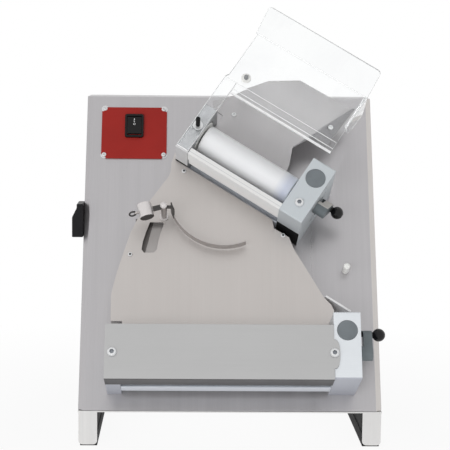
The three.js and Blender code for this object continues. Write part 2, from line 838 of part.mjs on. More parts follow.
// Ball knob on a pin that is drawn out of the index holes against a spring
function leverKnob(leverDegrees) {
  const tip = rightBlockWidth + seatGap
  const face = rightBlockWidth + leverBlockGap + leverWidth + seatGap
  const profile = [[0, tip], [knobPinRadius, tip], [knobPinRadius, face], [knobStemRadius, face]]
  const middle = face + knobReach - knobRadius
  for (let step = 0; step <= knobSteps; step += 1) {
    const angle = radians(knobNeckDegrees + (90 - knobNeckDegrees) * step / knobSteps)
    profile.push([knobRadius * Math.cos(angle), middle + knobRadius * Math.sin(angle)])
  }
  const knob = turned([...profile.slice(0, -1), [0, middle + knobRadius]], 'x').translate(0, knobArm, 0)
  return knob.rotateX(radians(leverDegrees)).translate(0, eccentricShaftHeight, middleAxisReach)
}

// Bent plate under the front roller with a lip that cleans it
function frontScraper(space) {
  const t = scraperThickness
  const face = blockReach - frontScraperInset
  const lipReach = middleAxisReach
  const lipTop = rollerAxisHeight - rollerRadius - scraperLipGap - eccentricOffset
  const floorEnd = face - frontScraperFloorReach
  const [step, lap] = [face - frontScraperBarWidth, face - frontScraperBarWidth + frontScraperLap]
  const [low, high] = [seatGap + t, seatGap + 2 * t]
  const points = [
    [seatGap, face], [seatGap, step], [low, step], [low, floorEnd], [high, floorEnd],
    [high, lipReach - t / 2], [lipTop, lipReach - t / 2], [lipTop - t, lipReach + t / 2],
    [high, lipReach + t], [high, lap], [low, lap], [low, face - t],
    [frontScraperHeight, face - t], [frontScraperHeight, face]
  ]
  return prismAlongX(outline(points), seatGap - space, -seatGap)
}

function rearScraper(space) {
  const t = scraperThickness
  const lipTop = rollerAxisHeight - rollerRadius - scraperLipGap
  const points = [
    [seatGap, rearScraperStart], [seatGap, rearScraperEnd], [seatGap + t, rearScraperEnd],
    [seatGap + t, rearAxisReach + t], [lipTop - t, rearAxisReach + t / 2], [lipTop, rearAxisReach - t / 2],
    [seatGap + t, rearAxisReach - t / 2], [seatGap + t, rearScraperStart]
  ]
  return prismAlongX(outline(points), seatGap - space, -seatGap)
}

function addUnit(frame, prefix, { space, leftHeight, leverDegrees, belt }) {
  const [frontHeight, frontReach] = frontAxis(leverDegrees)
  const onRear = (geometry) => geometry.translate(0, rollerAxisHeight, rearAxisReach)
  const onFront = (geometry) => geometry.translate(0, frontHeight, frontReach)
  const sleeve = ring(sleeveBore, sleeveBore + sleeveThickness, rollerEndGap - space, -rollerEndGap, 'x')
  add(frame, `${prefix}_left_block`, leftBlock(space, leftHeight), materials.aluminium)
  add(frame, `${prefix}_right_block`, rightBlock(leverDegrees), materials.aluminium)
  add(frame, `${prefix}_block_cap`, blockCap(), materials.grey)
  add(frame, `${prefix}_rear_shaft`, onRear(rearShaft(space, belt)), materials.bright)
  add(frame, `${prefix}_rear_roller`, onRear(roller(space, shaftRadius + seatGap)), materials.roller)
  add(frame, `${prefix}_rear_gear`, onRear(gear(space, shaftRadius + seatGap)), materials.dark)
  add(frame, `${prefix}_roller_sleeve`, onFront(sleeve), materials.bright)
  add(frame, `${prefix}_front_roller`, onFront(roller(space, rollerBore)), materials.roller)
  add(frame, `${prefix}_front_gear`, onFront(gear(space, rollerBore)), materials.dark)
  add(frame, `${prefix}_eccentric_shaft`, eccentricShaft(space, leverDegrees), materials.bright)
  add(frame, `${prefix}_thickness_lever`, thicknessLever(leverDegrees), materials.dark)
  add(frame, `${prefix}_lever_knob`, leverKnob(leverDegrees), materials.black)
  add(frame, `${prefix}_front_scraper`, frontScraper(space), materials.aluminium)
  add(frame, `${prefix}_rear_scraper`, rearScraper(space), materials.aluminium)
}

// Screw with a domed head and a round socket, standing on a face
function domedScrew(x, y, face) {
  const base = face + seatGap
  const [rim, top] = [base + screwHeadHeight - screwRounding, base + screwHeadHeight]
  const floor = top - screwSocketDepth
  const profile = [
    [0, base], [screwHeadRadius, base], [screwHeadRadius, rim], [screwHeadRadius - screwRounding, top],
    [screwSocketRadius, top], [screwSocketRadius, floor], [0, floor]
  ]
  return turned(profile, 'z').translate(x, y, 0)
}

// Cover over the lower rollers, with a folded lip and a round ear for its right screw
function lowerCover() {
  const left = -lowerRollerSpace - leftBlockWidth
  const right = -seatGap
  const shape = new THREE.Shape()
  shape.moveTo(left, -seatGap)
  shape.lineTo(right, -seatGap)
  shape.lineTo(right, coverEarFootHeight)
  shape.quadraticCurveTo(coverEarReach, coverEarFootHeight, coverEarReach, coverScrewHeight)
  shape.quadraticCurveTo(coverEarReach, coverEarTopHeight, right, coverEarTopHeight)
  shape.lineTo(right, coverHeight)
  shape.lineTo(left, coverHeight)
  const face = plate(shape, blockReach + seatGap, blockReach + seatGap + coverThickness)
  const lip = block(left, right, -seatGap - coverThickness, -seatGap,
    blockReach + seatGap + coverThickness - coverLipReach, blockReach + seatGap + coverThickness)
  return join(face, lip)
}

// Guard of clear sheet: a leg on the left block, a front pane with its lower lip bent in, a flap towards
// the operator and a right cheek
function guardFlap(left, right) {
  const radius = guardFlapCornerRadius
  const shape = new THREE.Shape()
  shape.moveTo(left, 0)
  shape.lineTo(right, 0)
  shape.lineTo(right, guardFlapLength - radius)
  shape.absarc(right - radius, guardFlapLength - radius, radius, 0, Math.PI / 2)
  shape.absarc(left + radius, guardFlapLength - radius, radius, Math.PI / 2, Math.PI)
  const flap = plate(shape, 0, guardThickness).rotateX(radians(guardFlapTiltDegrees))
  return flap.translate(0, guardUpperEdge, guardBack)
}

function guardCheek(right) {
  const shape = new THREE.Shape()
  const low = guardUpperEdge - guardCheekHeight
  shape.moveTo(low, guardFront)
  shape.quadraticCurveTo(low, guardFront - guardCheekReach, guardUpperEdge - guardCornerRadius,
    guardFront - guardCheekReach)
  shape.lineTo(guardUpperEdge, guardFront - guardCheekReach)
  shape.lineTo(guardUpperEdge, guardFront)
  return prismAlongX(shape, right - guardThickness, right)
}

function upperGuard() {
  const left = -upperRollerSpace - guardLegWidth
  const right = guardRightOverhang
  const legRight = left + guardLegWidth
  const leg = roundedBox(left, guardLegFoot, legRight, guardBend + guardCornerRadius, guardCornerRadius)
  const squareTop = guardLegFoot + guardCornerRadius
  const footSquare = block(left, legRight, guardLegFoot, squareTop, guardBack, guardFront)
  const pane = [
    [guardUpperEdge, guardBack], [guardUpperEdge, guardFront], [guardBend, guardFront],
    [guardLowerEdge, guardFront - guardLipSetback], [guardLowerEdge, guardBack - guardLipSetback],
    [guardBend, guardBack]
  ]
  const [front, paneLeft] = [prismAlongX(outline(pane), legRight, right), left + guardSideStep]
  const corner = block(paneLeft, legRight + guardSideStep, guardBend, guardUpperEdge, guardBack, guardFront)
  const flap = guardFlap(left, right)
  return join(front, corner, plate(leg, guardBack, guardFront), footSquare, flap, guardCheek(right))
}

function guardStud(x, y, reach) {
  const base = guardFront + seatGap
  const shoulder = base + studWasherThickness
  const profile = [
    [0, base], [studWasherRadius, base], [studWasherRadius, shoulder], [studPinRadius, shoulder],
    [studPinRadius, shoulder + reach], [0, shoulder + reach]
  ]
  return turned(profile, 'z').translate(x, y, 0)
}

// Feed plate that guides the ball of dough into the upper nip, with a bent wing on its right
function feedPlate() {
  const foot = rollerAxisHeight + rollerRadius + chuteRollerGap
  const [face, t] = [feedPlateReach, feedPlateThickness]
  const mainPoints = sized(feedPlateShares, 0, foot, feedPlateWidth, feedPlateHeight)
  const main = plate(outline(mainPoints), face - t, face)
  const points = sized(feedWingShares, 0, foot, feedPlateWidth, feedPlateHeight)
  const [start, end] = points
  const length = Math.hypot(end[0] - start[0], end[1] - start[1])
  const [nx, ny] = [(end[1] - start[1]) / length, (start[0] - end[0]) / length]
  const wing = plate(outline(points), face - t, face)
  const slant = new THREE.Matrix4().set(
    1, 0, 0, 0,
    0, 1, 0, 0,
    -feedWingSlope * nx, -feedWingSlope * ny, 1, feedWingSlope * (nx * start[0] + ny * start[1]),
    0, 0, 0, 1
  )
  const webs = [0, 1].map((step) => {
    const y = foot + step * feedPlateWebSpacing
    const [left, right] = feedWebShares.map((share) => share * feedPlateWidth)
    return block(left, right, y, y + t, seatGap, face - t / 2)
  })
  const leftBlockRoom = block(-upperRollerSpace - leftBlockWidth - seatGap, -upperRollerSpace + seatGap,
    0, blockHeight + seatGap, 0, blockReach)
  return cut(join(main, wing.applyMatrix4(slant), ...webs), leftBlockRoom)
}

// Space that a roller unit takes up, which plates near it keep clear of
function unitRooms(frame, space, between) {
  const top = blockHeight + seatGap
  const leftEdge = -space - leftBlockWidth - seatGap
  const left = block(leftEdge, -space + seatGap, -seatGap, top, -cutOverrun, blockReach)
  const right = block(-seatGap, rightBlockWidth + seatGap, -seatGap, top, -cutOverrun, blockReach)
  const middle = block(-space, 0, -seatGap, between, -cutOverrun, blockReach)
  return [left, right, middle].map((room) => toPanel(room, frame))
}

// Chute: a tray with its walls folded back to the panel, and a shallow pan behind its slot
function chutePlate() {
  const foot = lowerUnitY + rollerAxisHeight + rollerRadius + chuteRollerGap
  const place = (shares) => sized(shares, chuteLeft, foot, chuteWidth, chuteHeight)
  const edge = [...place(chuteLeftShares), ...place(chuteTopShares), ...place(chuteRightShares)]
  const slotBack = chuteReach - sheetThickness - seatGap
  const slot = plate(outline(place(chuteSlotShares)), slotBack, chuteReach + cutOverrun)
  const rollersTop = rollerAxisHeight + rollerRadius + chuteRollerGap
  const blockSide = rightBlockWidth + chuteBlockGap
  const underBlock = block(-seatGap, blockSide, -chuteBlockGap, seatGap, -cutOverrun, blockReach)
  const rooms = [
    ...unitRooms(lowerFrame, lowerRollerSpace, rollersTop),
    ...unitRooms(upperFrame, upperRollerSpace, blockHeight),
    toPanel(underBlock, upperFrame)
  ]
  const form = cut(plate(outline(edge), seatGap, chuteReach), ...rooms)
  return { form, slot }
}

function chuteTray() {
  const { form, slot } = chutePlate()
  const depth = chuteReach - sheetThickness
  // Sliding the solid by a wall's thickness every way leaves only what lies inside its walls
  let core = body(form)
  for (let step = 0; step < wallDirections; step += 1) {
    const angle = 2 * Math.PI * step / wallDirections
    core = core.intersect(body(form.clone().translate(
      sheetThickness * Math.cos(angle), sheetThickness * Math.sin(angle), 0)))
  }
  const lowered = geometryOf(core).translate(0, 0, depth - chuteReach)
  const hollow = join(lowered, geometryOf(core).translate(0, 0, -cutOverrun))
  return cut(join(cut(form, hollow), slotPan()), slot)
}

function slotPan() {
  const t = sheetThickness
  const [right, top] = [slotPanLeft + slotPanWidth, slotPanFoot + slotPanHeight]
  const floor = chuteReach - t - slotPanDepth
  const box = block(slotPanLeft, right, slotPanFoot, top, floor - t, chuteReach - t / 2)
  return cut(box, block(slotPanLeft + t, right - t, slotPanFoot + t, top - t, floor, chuteReach - t))
}

function guideBar() {
  const foot = lowerUnitY + rollerAxisHeight + rollerRadius + chuteRollerGap
  const [x, y] = [chuteLeft + guideBarShares[0] * chuteWidth, foot + guideBarShares[1] * chuteHeight]
  const points = [
    [seatGap, 0], [chuteReach, 0], [chuteReach, guideBarThickness],
    [seatGap + sheetThickness, guideBarThickness], [seatGap + sheetThickness, guideBarFootWidth],
    [seatGap, guideBarFootWidth]
  ]
  const profile = outline(points.map(([out, up]) => [up, out]))
  const bar = prismAlongX(profile, 0, guideBarLength).rotateZ(-upperTurn)
  return bar.translate(x, y, 0)
}

// Rocker on a bolt that stands on the chute

const rockerBase = chuteReach + 2 * seatGap + pivotFootThickness
const rockerTop = rockerBase + hubLength
const rockerArmReach = rockerTop - rockerLinkWidth / 2 - seatGap

function pivotBolt() {
  const foot = chuteReach + seatGap
  const [ledge, head] = [foot + pivotFootThickness, rockerTop + seatGap]
  const profile = [
    [0, foot], [pivotFootRadius, foot], [pivotFootRadius, ledge], [pivotShankRadius, ledge],
    [pivotShankRadius, head], [pivotHeadRadius, head], [pivotHeadRadius, head + pivotHeadHeight / 2],
    [pivotHeadRadius / 2, head + pivotHeadHeight], [0, head + pivotHeadHeight]
  ]
  return turned(profile, 'z').translate(pivotX, pivotY, 0)
}

// Strip bent to an arc, standing square to the chute, with a deeper tang beside the hub
const bladeStart = radians(bladeArcStartDegrees)
const bladeSweep = radians(bladeArcEndDegrees) - bladeStart
const bladeCentreX = hubRadius + bladeTangGap - bladeArcRadius * Math.cos(bladeStart)
const bladeCentreY = bladeTangRise - bladeArcRadius * Math.sin(bladeStart)

function rockerBlade(from, to, depth) {
  const shape = new THREE.Shape()
  const steps = Math.ceil(bladeArcSteps * (to - from))
  const arcPoint = (radius, step) => {
    const angle = bladeStart + bladeSweep * (from + (to - from) * step / steps)
    return new THREE.Vector2(bladeCentreX + radius * Math.cos(angle), bladeCentreY + radius * Math.sin(angle))
  }
  const outer = Array.from({ length: steps + 1 }, (_, i) => arcPoint(bladeArcRadius, i))
  const innerRadius = bladeArcRadius - bladeThickness
  const inner = Array.from({ length: steps + 1 }, (_, i) => arcPoint(innerRadius, steps - i))
  shape.setFromPoints([...outer, ...inner])
  return plate(shape, rockerBase + bladeGap, rockerBase + bladeGap + depth)
}

function rockerArm() {
  const low = rockerBase + seatGap
  const hub = turned([[0, low], [hubFootRadius, low], [hubRadius, rockerTop], [0, rockerTop]], 'z')
  const bore = rodAlongZ(pivotShankRadius + runningGap, rockerBase - cutOverrun, rockerTop + cutOverrun, 0, 0)
  const tangDepth = hubLength - 2 * bladeGap
  const webReach = bladeCentreX - Math.sqrt((bladeArcRadius - bladeThickness / 2) ** 2 - bladeCentreY ** 2)
  const webTop = rockerBase + bladeGap + tangDepth
  const web = block(0, webReach, -bladeThickness, bladeThickness, webTop - rockerLinkWidth, webTop)
  const link = block(-rockerLinkLength + rockerLinkWidth / 2, 0, -rockerLinkWidth / 2, rockerLinkWidth / 2,
    rockerArmReach - rockerLinkWidth / 2, rockerArmReach + rockerLinkWidth / 2)
  const rod = rodAlongX(rockerRodRadius, -rockerRodLength, 0, 0, rockerArmReach, smallSides)
  const eye = new THREE.TorusGeometry(rockerEyeRadius, rockerEyeWireRadius, smallSides / 2, smallSides)
  eye.translate(-rockerRodLength - rockerEyeRadius + rockerEyeWireRadius, 0, rockerArmReach)
  const arm = join(rod, link, eye).rotateZ(radians(rockerArmDegrees))
  const blades = [rockerBlade(0, 1, bladeWidth), rockerBlade(0, bladeTangShare, tangDepth)]
  return cut(join(hub, web, arm, ...blades), bore).translate(pivotX, pivotY, 0)
}

function counterweight() {
  const half = counterweightLength / 2
  const edge = counterweightRadius - bladeThickness / 2
  const rim = counterweightEdgeShare * half
  const profile = [
    [0, -half], [edge, -half], [counterweightRadius, -rim],
    [counterweightRadius, rim], [edge, half], [0, half]
  ]
  const weight = turned(profile, 'y').translate(-counterweightArm, 0, rockerArmReach)
  const rodBore = rodAlongX(rockerRodRadius + seatGap, -rockerRodLength, 0, 0, rockerArmReach, smallSides)
  return cut(weight, rodBore).rotateZ(radians(rockerArmDegrees)).translate(pivotX, pivotY, 0)
}

// Drive inside the cabinet

const lowerPulleyX = lowerUnitX + pulleyX
const upperPulleyX = upperUnitX + pulleyX * Math.cos(upperTurn) + rollerAxisHeight * Math.sin(upperTurn)
const upperPulleyY = upperUnitY - pulleyX * Math.sin(upperTurn) + rollerAxisHeight * Math.cos(upperTurn)

function motorBody() {
  const end = drivePlateX - seatGap
  const [start, bell] = [end - motorLength, motorBellLength]
  const step = motorWaistShare * motorRadius
  const profile = [
    [0, start], [step, start], [motorRadius, start + bell / 2], [motorRadius, start + bell],
    [step, start + bell], [step, end - bell], [motorRadius, end - bell], [motorRadius, end],
    [motorShaftRadius + runningGap, end], [motorShaftRadius + runningGap, end - 2 * bell], [0, end - 2 * bell]
  ]
  return turned(profile, 'x').translate(0, motorY, -motorDepth)
}

function motorShaft() {
  const start = drivePlateX - motorShaftSeat
  const end = lowerPulleyX + driveBeltWidth
  const profile = [
    [0, start], [motorShaftRadius, start],
    ...pulleySteps(crossBeltX, crossBeltWidth, motorPulleyRadius, motorShaftRadius),
    ...pulleySteps(lowerPulleyX, driveBeltWidth, motorPulleyRadius, motorShaftRadius),
    [motorShaftRadius, end], [0, end]
  ]
  return turned(profile, 'x').translate(0, motorY, -motorDepth)
}

function jackshaft() {
  const [start, end] = [upperPulleyX - driveBeltWidth, crossBeltX + driveBeltWidth]
  const profile = [
    [0, start], [motorShaftRadius, start],
    ...pulleySteps(upperPulleyX, roundBelt.width, roundBelt.pulleyRadius, motorShaftRadius),
    ...pulleySteps(crossBeltX, crossBeltWidth, drivePulleyRadius, motorShaftRadius),
    [motorShaftRadius, end], [0, end]
  ]
  return turned(profile, 'x').translate(0, upperPulleyY, -jackshaftDepth)
}

// Loop of flat belt round two pulleys, drawn in Y and Z of the panel's frame
function flatBelt(x, width, first, second) {
  const [dy, dz] = [second.y - first.y, second.z - first.z]
  const distance = Math.hypot(dy, dz)
  const heading = Math.atan2(dz, dy)
  const open = Math.acos((first.radius - second.radius) / distance)
  const steps = flatBeltSteps
  const loop = (extra) => {
    const points = []
    for (let i = 0; i <= steps; i += 1) {
      const angle = heading + open + (2 * Math.PI - 2 * open) * i / steps
      const radius = first.radius + extra
      points.push([first.y + radius * Math.cos(angle), first.z + radius * Math.sin(angle)])
    }
    for (let i = 0; i <= steps; i += 1) {
      const angle = heading - open + 2 * open * i / steps
      const radius = second.radius + extra
      points.push([second.y + radius * Math.cos(angle), second.z + radius * Math.sin(angle)])
    }
    return outline(points)
  }
  const shape = loop(beltThickness)
  shape.holes.push(loop(seatGap))
  return prismAlongX(shape, x - width / 2, x + width / 2)
}

// Round belt that leaves one pulley square to the panel and takes the other pulley's turn on the way
function twistedBelt() {
  const arcSteps = roundBeltSteps
  const middle = new THREE.Vector3(upperPulleyX, upperPulleyY, 0)
  const out = new THREE.Vector3(0, 0, 1)
  const acrossUpper = new THREE.Vector3(Math.sin(upperTurn), Math.cos(upperTurn), 0)
  const acrossJack = new THREE.Vector3(0, 1, 0)
  const stations = []
  const arc = (across, centreZ, from) => {
    for (let i = 0; i <= arcSteps; i += 1) {
      const angle = from + Math.PI * i / arcSteps
      const spoke = across.clone().multiplyScalar(Math.cos(angle)).addScaledVector(out, Math.sin(angle))
      const centre = middle.clone().setZ(centreZ).addScaledVector(spoke, roundPulleyRadius + seatGap)
      stations.push({ centre, spoke, side: new THREE.Vector3().crossVectors(across, out) })
    }
  }
  arc(acrossUpper, rearAxisReach, 0)
  arc(acrossJack, -jackshaftDepth, Math.PI)
  const sides = roundBeltSides
  const places = []
  for (const { centre, spoke, side } of stations) {
    for (let i = 0; i < sides; i += 1) {
      const angle = 2 * Math.PI * i / sides
      const point = centre.clone().addScaledVector(spoke, roundBeltRadius * Math.cos(angle))
      places.push(...point.addScaledVector(side, roundBeltRadius * Math.sin(angle)).toArray())
    }
  }
  const index = []
  for (let s = 0; s < stations.length; s += 1) {
    const next = (s + 1) % stations.length
    for (let i = 0; i < sides; i += 1) {
      const j = (i + 1) % sides
      const [a, b, c, d] = [s * sides + i, s * sides + j, next * sides + j, next * sides + i]
      index.push(a, b, c, a, c, d)
    }
  }
  const geometry = new THREE.BufferGeometry()
  geometry.setAttribute('position', new THREE.Float32BufferAttribute(places, 3))
  geometry.setIndex(index)
  return geometry
}

function drivePlate() {
  const inset = sheetThickness + seatGap
  const low = footHeight + seatGap
  const profile = [
    [frontAt(low, inset), low], [drivePlateBack, low],
    [drivePlateBack, drivePlateTop], [frontAt(drivePlateTop, inset), drivePlateTop]
  ]
  const [start, end] = [drivePlateX, drivePlateX + drivePlateThickness]
  const wall = prismAlongX(outline(profile), start, end)
  const flangeFront = frontAt(low, inset) + drivePlateFootWidth
  const flange = block(start - drivePlateFootWidth, end, flangeFront, drivePlateBack,
    low, low + drivePlateThickness)
  const holes = [[motorY, -motorDepth], [upperPulleyY, -jackshaftDepth]].map(([up, out]) => {
    const [y, z] = fromPanel(up, out)
    return rodAlongX(motorShaftRadius + runningGap, start - cutOverrun, end + cutOverrun, y, z)
  })
  return cut(join(wall, flange), ...holes)
}

// Assembly

add(machine, 'cabinet_shell', cabinetShell(), materials.steel)
add(machine, 'back_cover', backCover(), materials.steel)
add(machine, 'base_frame', baseFrame(), materials.steel)
add(machine, 'left_runner_pad', runnerPad(-1), materials.rubber)
add(machine, 'right_runner_pad', runnerPad(1), materials.rubber)
add(machine, 'side_socket_box', socketBox(), materials.black)
add(machine, 'cable_gland', cableGland(), materials.black)
add(machine, 'drive_plate', drivePlate(), materials.dark)

add(panelFrame, 'control_plate', controlPlate(), materials.red)
add(panelFrame, 'switch_housing', switchHousing(), materials.black)
add(panelFrame, 'switch_rocker', switchRocker(), materials.black)
add(panelFrame, 'stop_peg', stopPeg(), materials.nylon)
add(panelFrame, 'chute_plate', chuteTray(), materials.chute)
add(panelFrame, 'chute_guide_bar', guideBar(), materials.bright)
add(panelFrame, 'rocker_pivot_bolt', pivotBolt(), materials.bright)
add(panelFrame, 'rocker_arm', rockerArm(), materials.dark)
add(panelFrame, 'rocker_counterweight', counterweight(), materials.bright)

addUnit(lowerFrame, 'lower', {
  space: lowerRollerSpace, leftHeight: lowerLeftBlockHeight, leverDegrees: lowerLeverDegrees, belt: wideBelt
})
addUnit(upperFrame, 'upper', {
  space: upperRollerSpace, leftHeight: upperLeftBlockHeight, leverDegrees: upperLeverDegrees, belt: roundBelt
})

const coverFace = blockReach + seatGap + coverThickness
const leftScrewX = -lowerRollerSpace - leftBlockWidth / 2
add(lowerFrame, 'lower_cover', lowerCover(), materials.steel)
const [leftScrew, rightScrew] = [leftScrewX, 0].map((x) => domedScrew(x, coverScrewHeight, coverFace))
add(lowerFrame, 'lower_cover_screw_left', leftScrew, materials.bright)
add(lowerFrame, 'lower_cover_screw_right', rightScrew, materials.bright)

add(upperFrame, 'upper_feed_plate', feedPlate(), materials.steel)
add(upperFrame, 'upper_guard', upperGuard(), materials.clear)
const studX = -upperRollerSpace - guardLegWidth / 2
add(upperFrame, 'guard_stud_lower', guardStud(studX, rollerAxisHeight, lowerStudReach), materials.black)
add(upperFrame, 'guard_stud_upper', guardStud(upperStudX, upperStudY, upperStudReach), materials.black)
add(upperFrame, 'upper_block_screw', domedScrew(pulleyX, upperScrewHeight, blockReach), materials.bright)

const lowerPulley = { y: lowerUnitY + rollerAxisHeight, z: rearAxisReach, radius: drivePulleyRadius }
const motorPulley = { y: motorY, z: -motorDepth, radius: motorPulleyRadius }
const jackPulley = { y: upperPulleyY, z: -jackshaftDepth, radius: drivePulleyRadius }
add(panelFrame, 'motor', motorBody(), materials.motor)
add(panelFrame, 'motor_shaft', motorShaft(), materials.bright)
add(panelFrame, 'jackshaft', jackshaft(), materials.bright)
const lowerBelt = flatBelt(lowerPulleyX, driveBeltWidth, lowerPulley, motorPulley)
const crossBelt = flatBelt(crossBeltX, crossBeltWidth, motorPulley, jackPulley)
add(panelFrame, 'lower_belt', lowerBelt, materials.rubber)
add(panelFrame, 'cross_belt', crossBelt, materials.rubber)
add(panelFrame, 'upper_belt', twistedBelt(), materials.rubber)

// The origin stands at the bottom centre of the whole machine
machine.updateMatrixWorld(true)
const extent = new THREE.Box3().setFromObject(machine, true)
const centre = extent.getCenter(new THREE.Vector3())
machine.position.set(-centre.x, -centre.y, -extent.min.z)
machine.updateMatrixWorld(true)

export default machine
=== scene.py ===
# Pizza dough roller machine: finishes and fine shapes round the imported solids.
# Shapes are drawn in millimetres in the frame of the panel or of a roller unit, then placed in metres.

import json
import math

import bmesh
import bpy
from mathutils import Matrix, Vector


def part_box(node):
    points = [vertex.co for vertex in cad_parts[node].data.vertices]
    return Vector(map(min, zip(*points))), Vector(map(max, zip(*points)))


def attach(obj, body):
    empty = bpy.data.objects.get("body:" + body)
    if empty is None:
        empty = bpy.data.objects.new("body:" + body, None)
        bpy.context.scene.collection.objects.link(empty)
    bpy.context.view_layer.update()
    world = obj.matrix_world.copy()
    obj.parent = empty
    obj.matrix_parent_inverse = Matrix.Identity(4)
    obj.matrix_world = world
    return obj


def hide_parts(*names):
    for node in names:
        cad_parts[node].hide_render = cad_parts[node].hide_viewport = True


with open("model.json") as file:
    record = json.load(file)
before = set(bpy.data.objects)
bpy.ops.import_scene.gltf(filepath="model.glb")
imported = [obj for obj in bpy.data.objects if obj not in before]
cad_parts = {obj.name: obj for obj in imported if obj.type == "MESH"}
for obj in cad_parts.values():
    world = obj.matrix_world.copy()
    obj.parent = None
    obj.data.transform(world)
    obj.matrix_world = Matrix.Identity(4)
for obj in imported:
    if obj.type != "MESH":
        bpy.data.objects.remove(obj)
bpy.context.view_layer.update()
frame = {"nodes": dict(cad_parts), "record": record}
nodes = frame["nodes"]

MM = 0.001
LEAN = math.radians(26)
UPPER_TURN = math.radians(33)

# Places of the roller units and the rocker on the panel, in millimetres

LOWER_CORNER = (142.5, 24.3, 0)
UPPER_CORNER = (67.9, 273.6, 0)
ROCKER_PIVOT = (-98.5, 280, 0)
ROCKER_TURN = math.radians(15)

# Sizes of a roller unit, from its lower inner corner and out of the panel

AXIS_HEIGHT = 43.0
REAR_AXIS = 29.0
FRONT_AXIS = 75.2
ROLLER_RADIUS = 22.0
RIGHT_BLOCK_MIDDLE = 19.0
LEVER_DEGREES = {"lower": -12, "upper": -53}

# Flat faces that screws, caps and studs stand on

PANEL_FACE = 0.02
CHUTE_FACE = 48.0
FEED_PLATE_FACE = 56.0
BLOCK_FACE = 104.3
COVER_FACE = 106.6
GUARD_FACE = 108.6


# Frames: X across, Y up the slope and Z straight out of the leaning panel

def panel_frame():
    """The panel's frame, found from the control plate, whose place on the panel is known."""
    low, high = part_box("control_plate")
    up = Vector((0, math.sin(LEAN), math.cos(LEAN)))
    out = Vector((0, -math.cos(LEAN), math.sin(LEAN)))
    plate_foot, plate_back, plate_face, plate_middle = 390.9, 0.3, 2.3, -146.6
    lowest = plate_foot * up + plate_back * out
    frontmost = plate_foot * up + plate_face * out
    origin = Vector((
        (low.x + high.x) / 2 - plate_middle * MM,
        low.y - frontmost.y * MM,
        low.z - lowest.z * MM,
    ))
    turn = Matrix((Vector((1, 0, 0)), up, out)).transposed().to_4x4()
    return Matrix.Translation(origin) @ turn @ Matrix.Scale(MM, 4)


PANEL = panel_frame()
LOWER = PANEL @ Matrix.Translation(LOWER_CORNER)
UPPER = PANEL @ Matrix.Translation(UPPER_CORNER) @ Matrix.Rotation(-UPPER_TURN, 4, "Z")
ARM = PANEL @ Matrix.Translation(ROCKER_PIVOT) @ Matrix.Rotation(ROCKER_TURN, 4, "Z")
UNITS = {"lower": LOWER, "upper": UPPER}


def middle_of(name, unit):
    """The middle of a node's box, with a unit's turn: the frame of a roller."""
    low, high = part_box(name)
    turned_only = unit.to_3x3().normalized().to_4x4()
    return Matrix.Translation((low + high) / 2) @ turned_only @ Matrix.Scale(MM, 4)


# Colours and shader nodes

def colour(red, green, blue):
    """Linear values of a colour given in steps of 255."""
    def linear(step):
        part = step / 255
        return part / 12.92 if part <= 0.04045 else ((part + 0.055) / 1.055) ** 2.4
    return (linear(red), linear(green), linear(blue), 1)


def fill_socket(tree, socket, value):
    """Links a socket to the one that feeds it, or sets its plain value."""
    if isinstance(value, bpy.types.NodeSocket):
        tree.links.new(value, socket)
    else:
        socket.default_value = value


def shader_node(tree, kind, inputs=None, **settings):
    """A node with its settings and its inputs, by name or by number."""
    made = tree.nodes.new(kind)
    for key, value in settings.items():
        setattr(made, key, value)
    for key, value in (inputs or {}).items():
        fill_socket(tree, made.inputs[key], value)
    return made


def combined(tree, operation, first, second, **settings):
    """The result of a maths node."""
    made = shader_node(tree, "ShaderNodeMath", {0: first, 1: second}, operation=operation, **settings)
    return made.outputs[0]


def noise(tree, place, scale, detail, **more):
    """Fractal noise between zero and one."""
    inputs = {"Vector": place, "Scale": scale, "Detail": detail, **more}
    return shader_node(tree, "ShaderNodeTexNoise", inputs).outputs[0]


def new_group(name, inputs, outputs):
    """An empty effect with named sockets, its start and its end."""
    group = bpy.data.node_groups.new(name, "ShaderNodeTree")
    for label, kind, value in inputs:
        socket = group.interface.new_socket(name=label, in_out="INPUT", socket_type=kind)
        if value is not None:
            socket.default_value = value
    for label, kind in outputs:
        group.interface.new_socket(name=label, in_out="OUTPUT", socket_type=kind)
    return group, group.nodes.new("NodeGroupInput").outputs, group.nodes.new("NodeGroupOutput").inputs


def brushed_grain_effect():
    """Long fine scratches that run along the second axis of the coordinates, and broad clouds."""
    group, given, result = new_group(
        "brushed grain",
        [("Vector", "NodeSocketVector", None), ("Lines", "NodeSocketFloat", 900.0),
         ("Length", "NodeSocketFloat", 12.0), ("Clouds", "NodeSocketFloat", 9.0)],
        [("Tone", "NodeSocketFloat"), ("Height", "NodeSocketFloat"), ("Cloud", "NodeSocketFloat")],
    )
    stretch = shader_node(group, "ShaderNodeCombineXYZ",
                          {"X": given["Lines"], "Y": given["Length"], "Z": given["Length"]})
    stretched = shader_node(group, "ShaderNodeVectorMath", {0: given["Vector"], 1: stretch.outputs[0]},
                            operation="MULTIPLY").outputs[0]
    fine = noise(group, stretched, 1.0, 3.0, Roughness=0.65)
    wide = noise(group, stretched, 0.09, 2.0)
    cloud = noise(group, given["Vector"], given["Clouds"], 3.0, Roughness=0.45)
    tone = combined(group, "MULTIPLY", combined(group, "ADD", fine, wide), 0.5)
    group.links.new(tone, result["Tone"])
    group.links.new(fine, result["Height"])
    group.links.new(cloud, result["Cloud"])
    return group


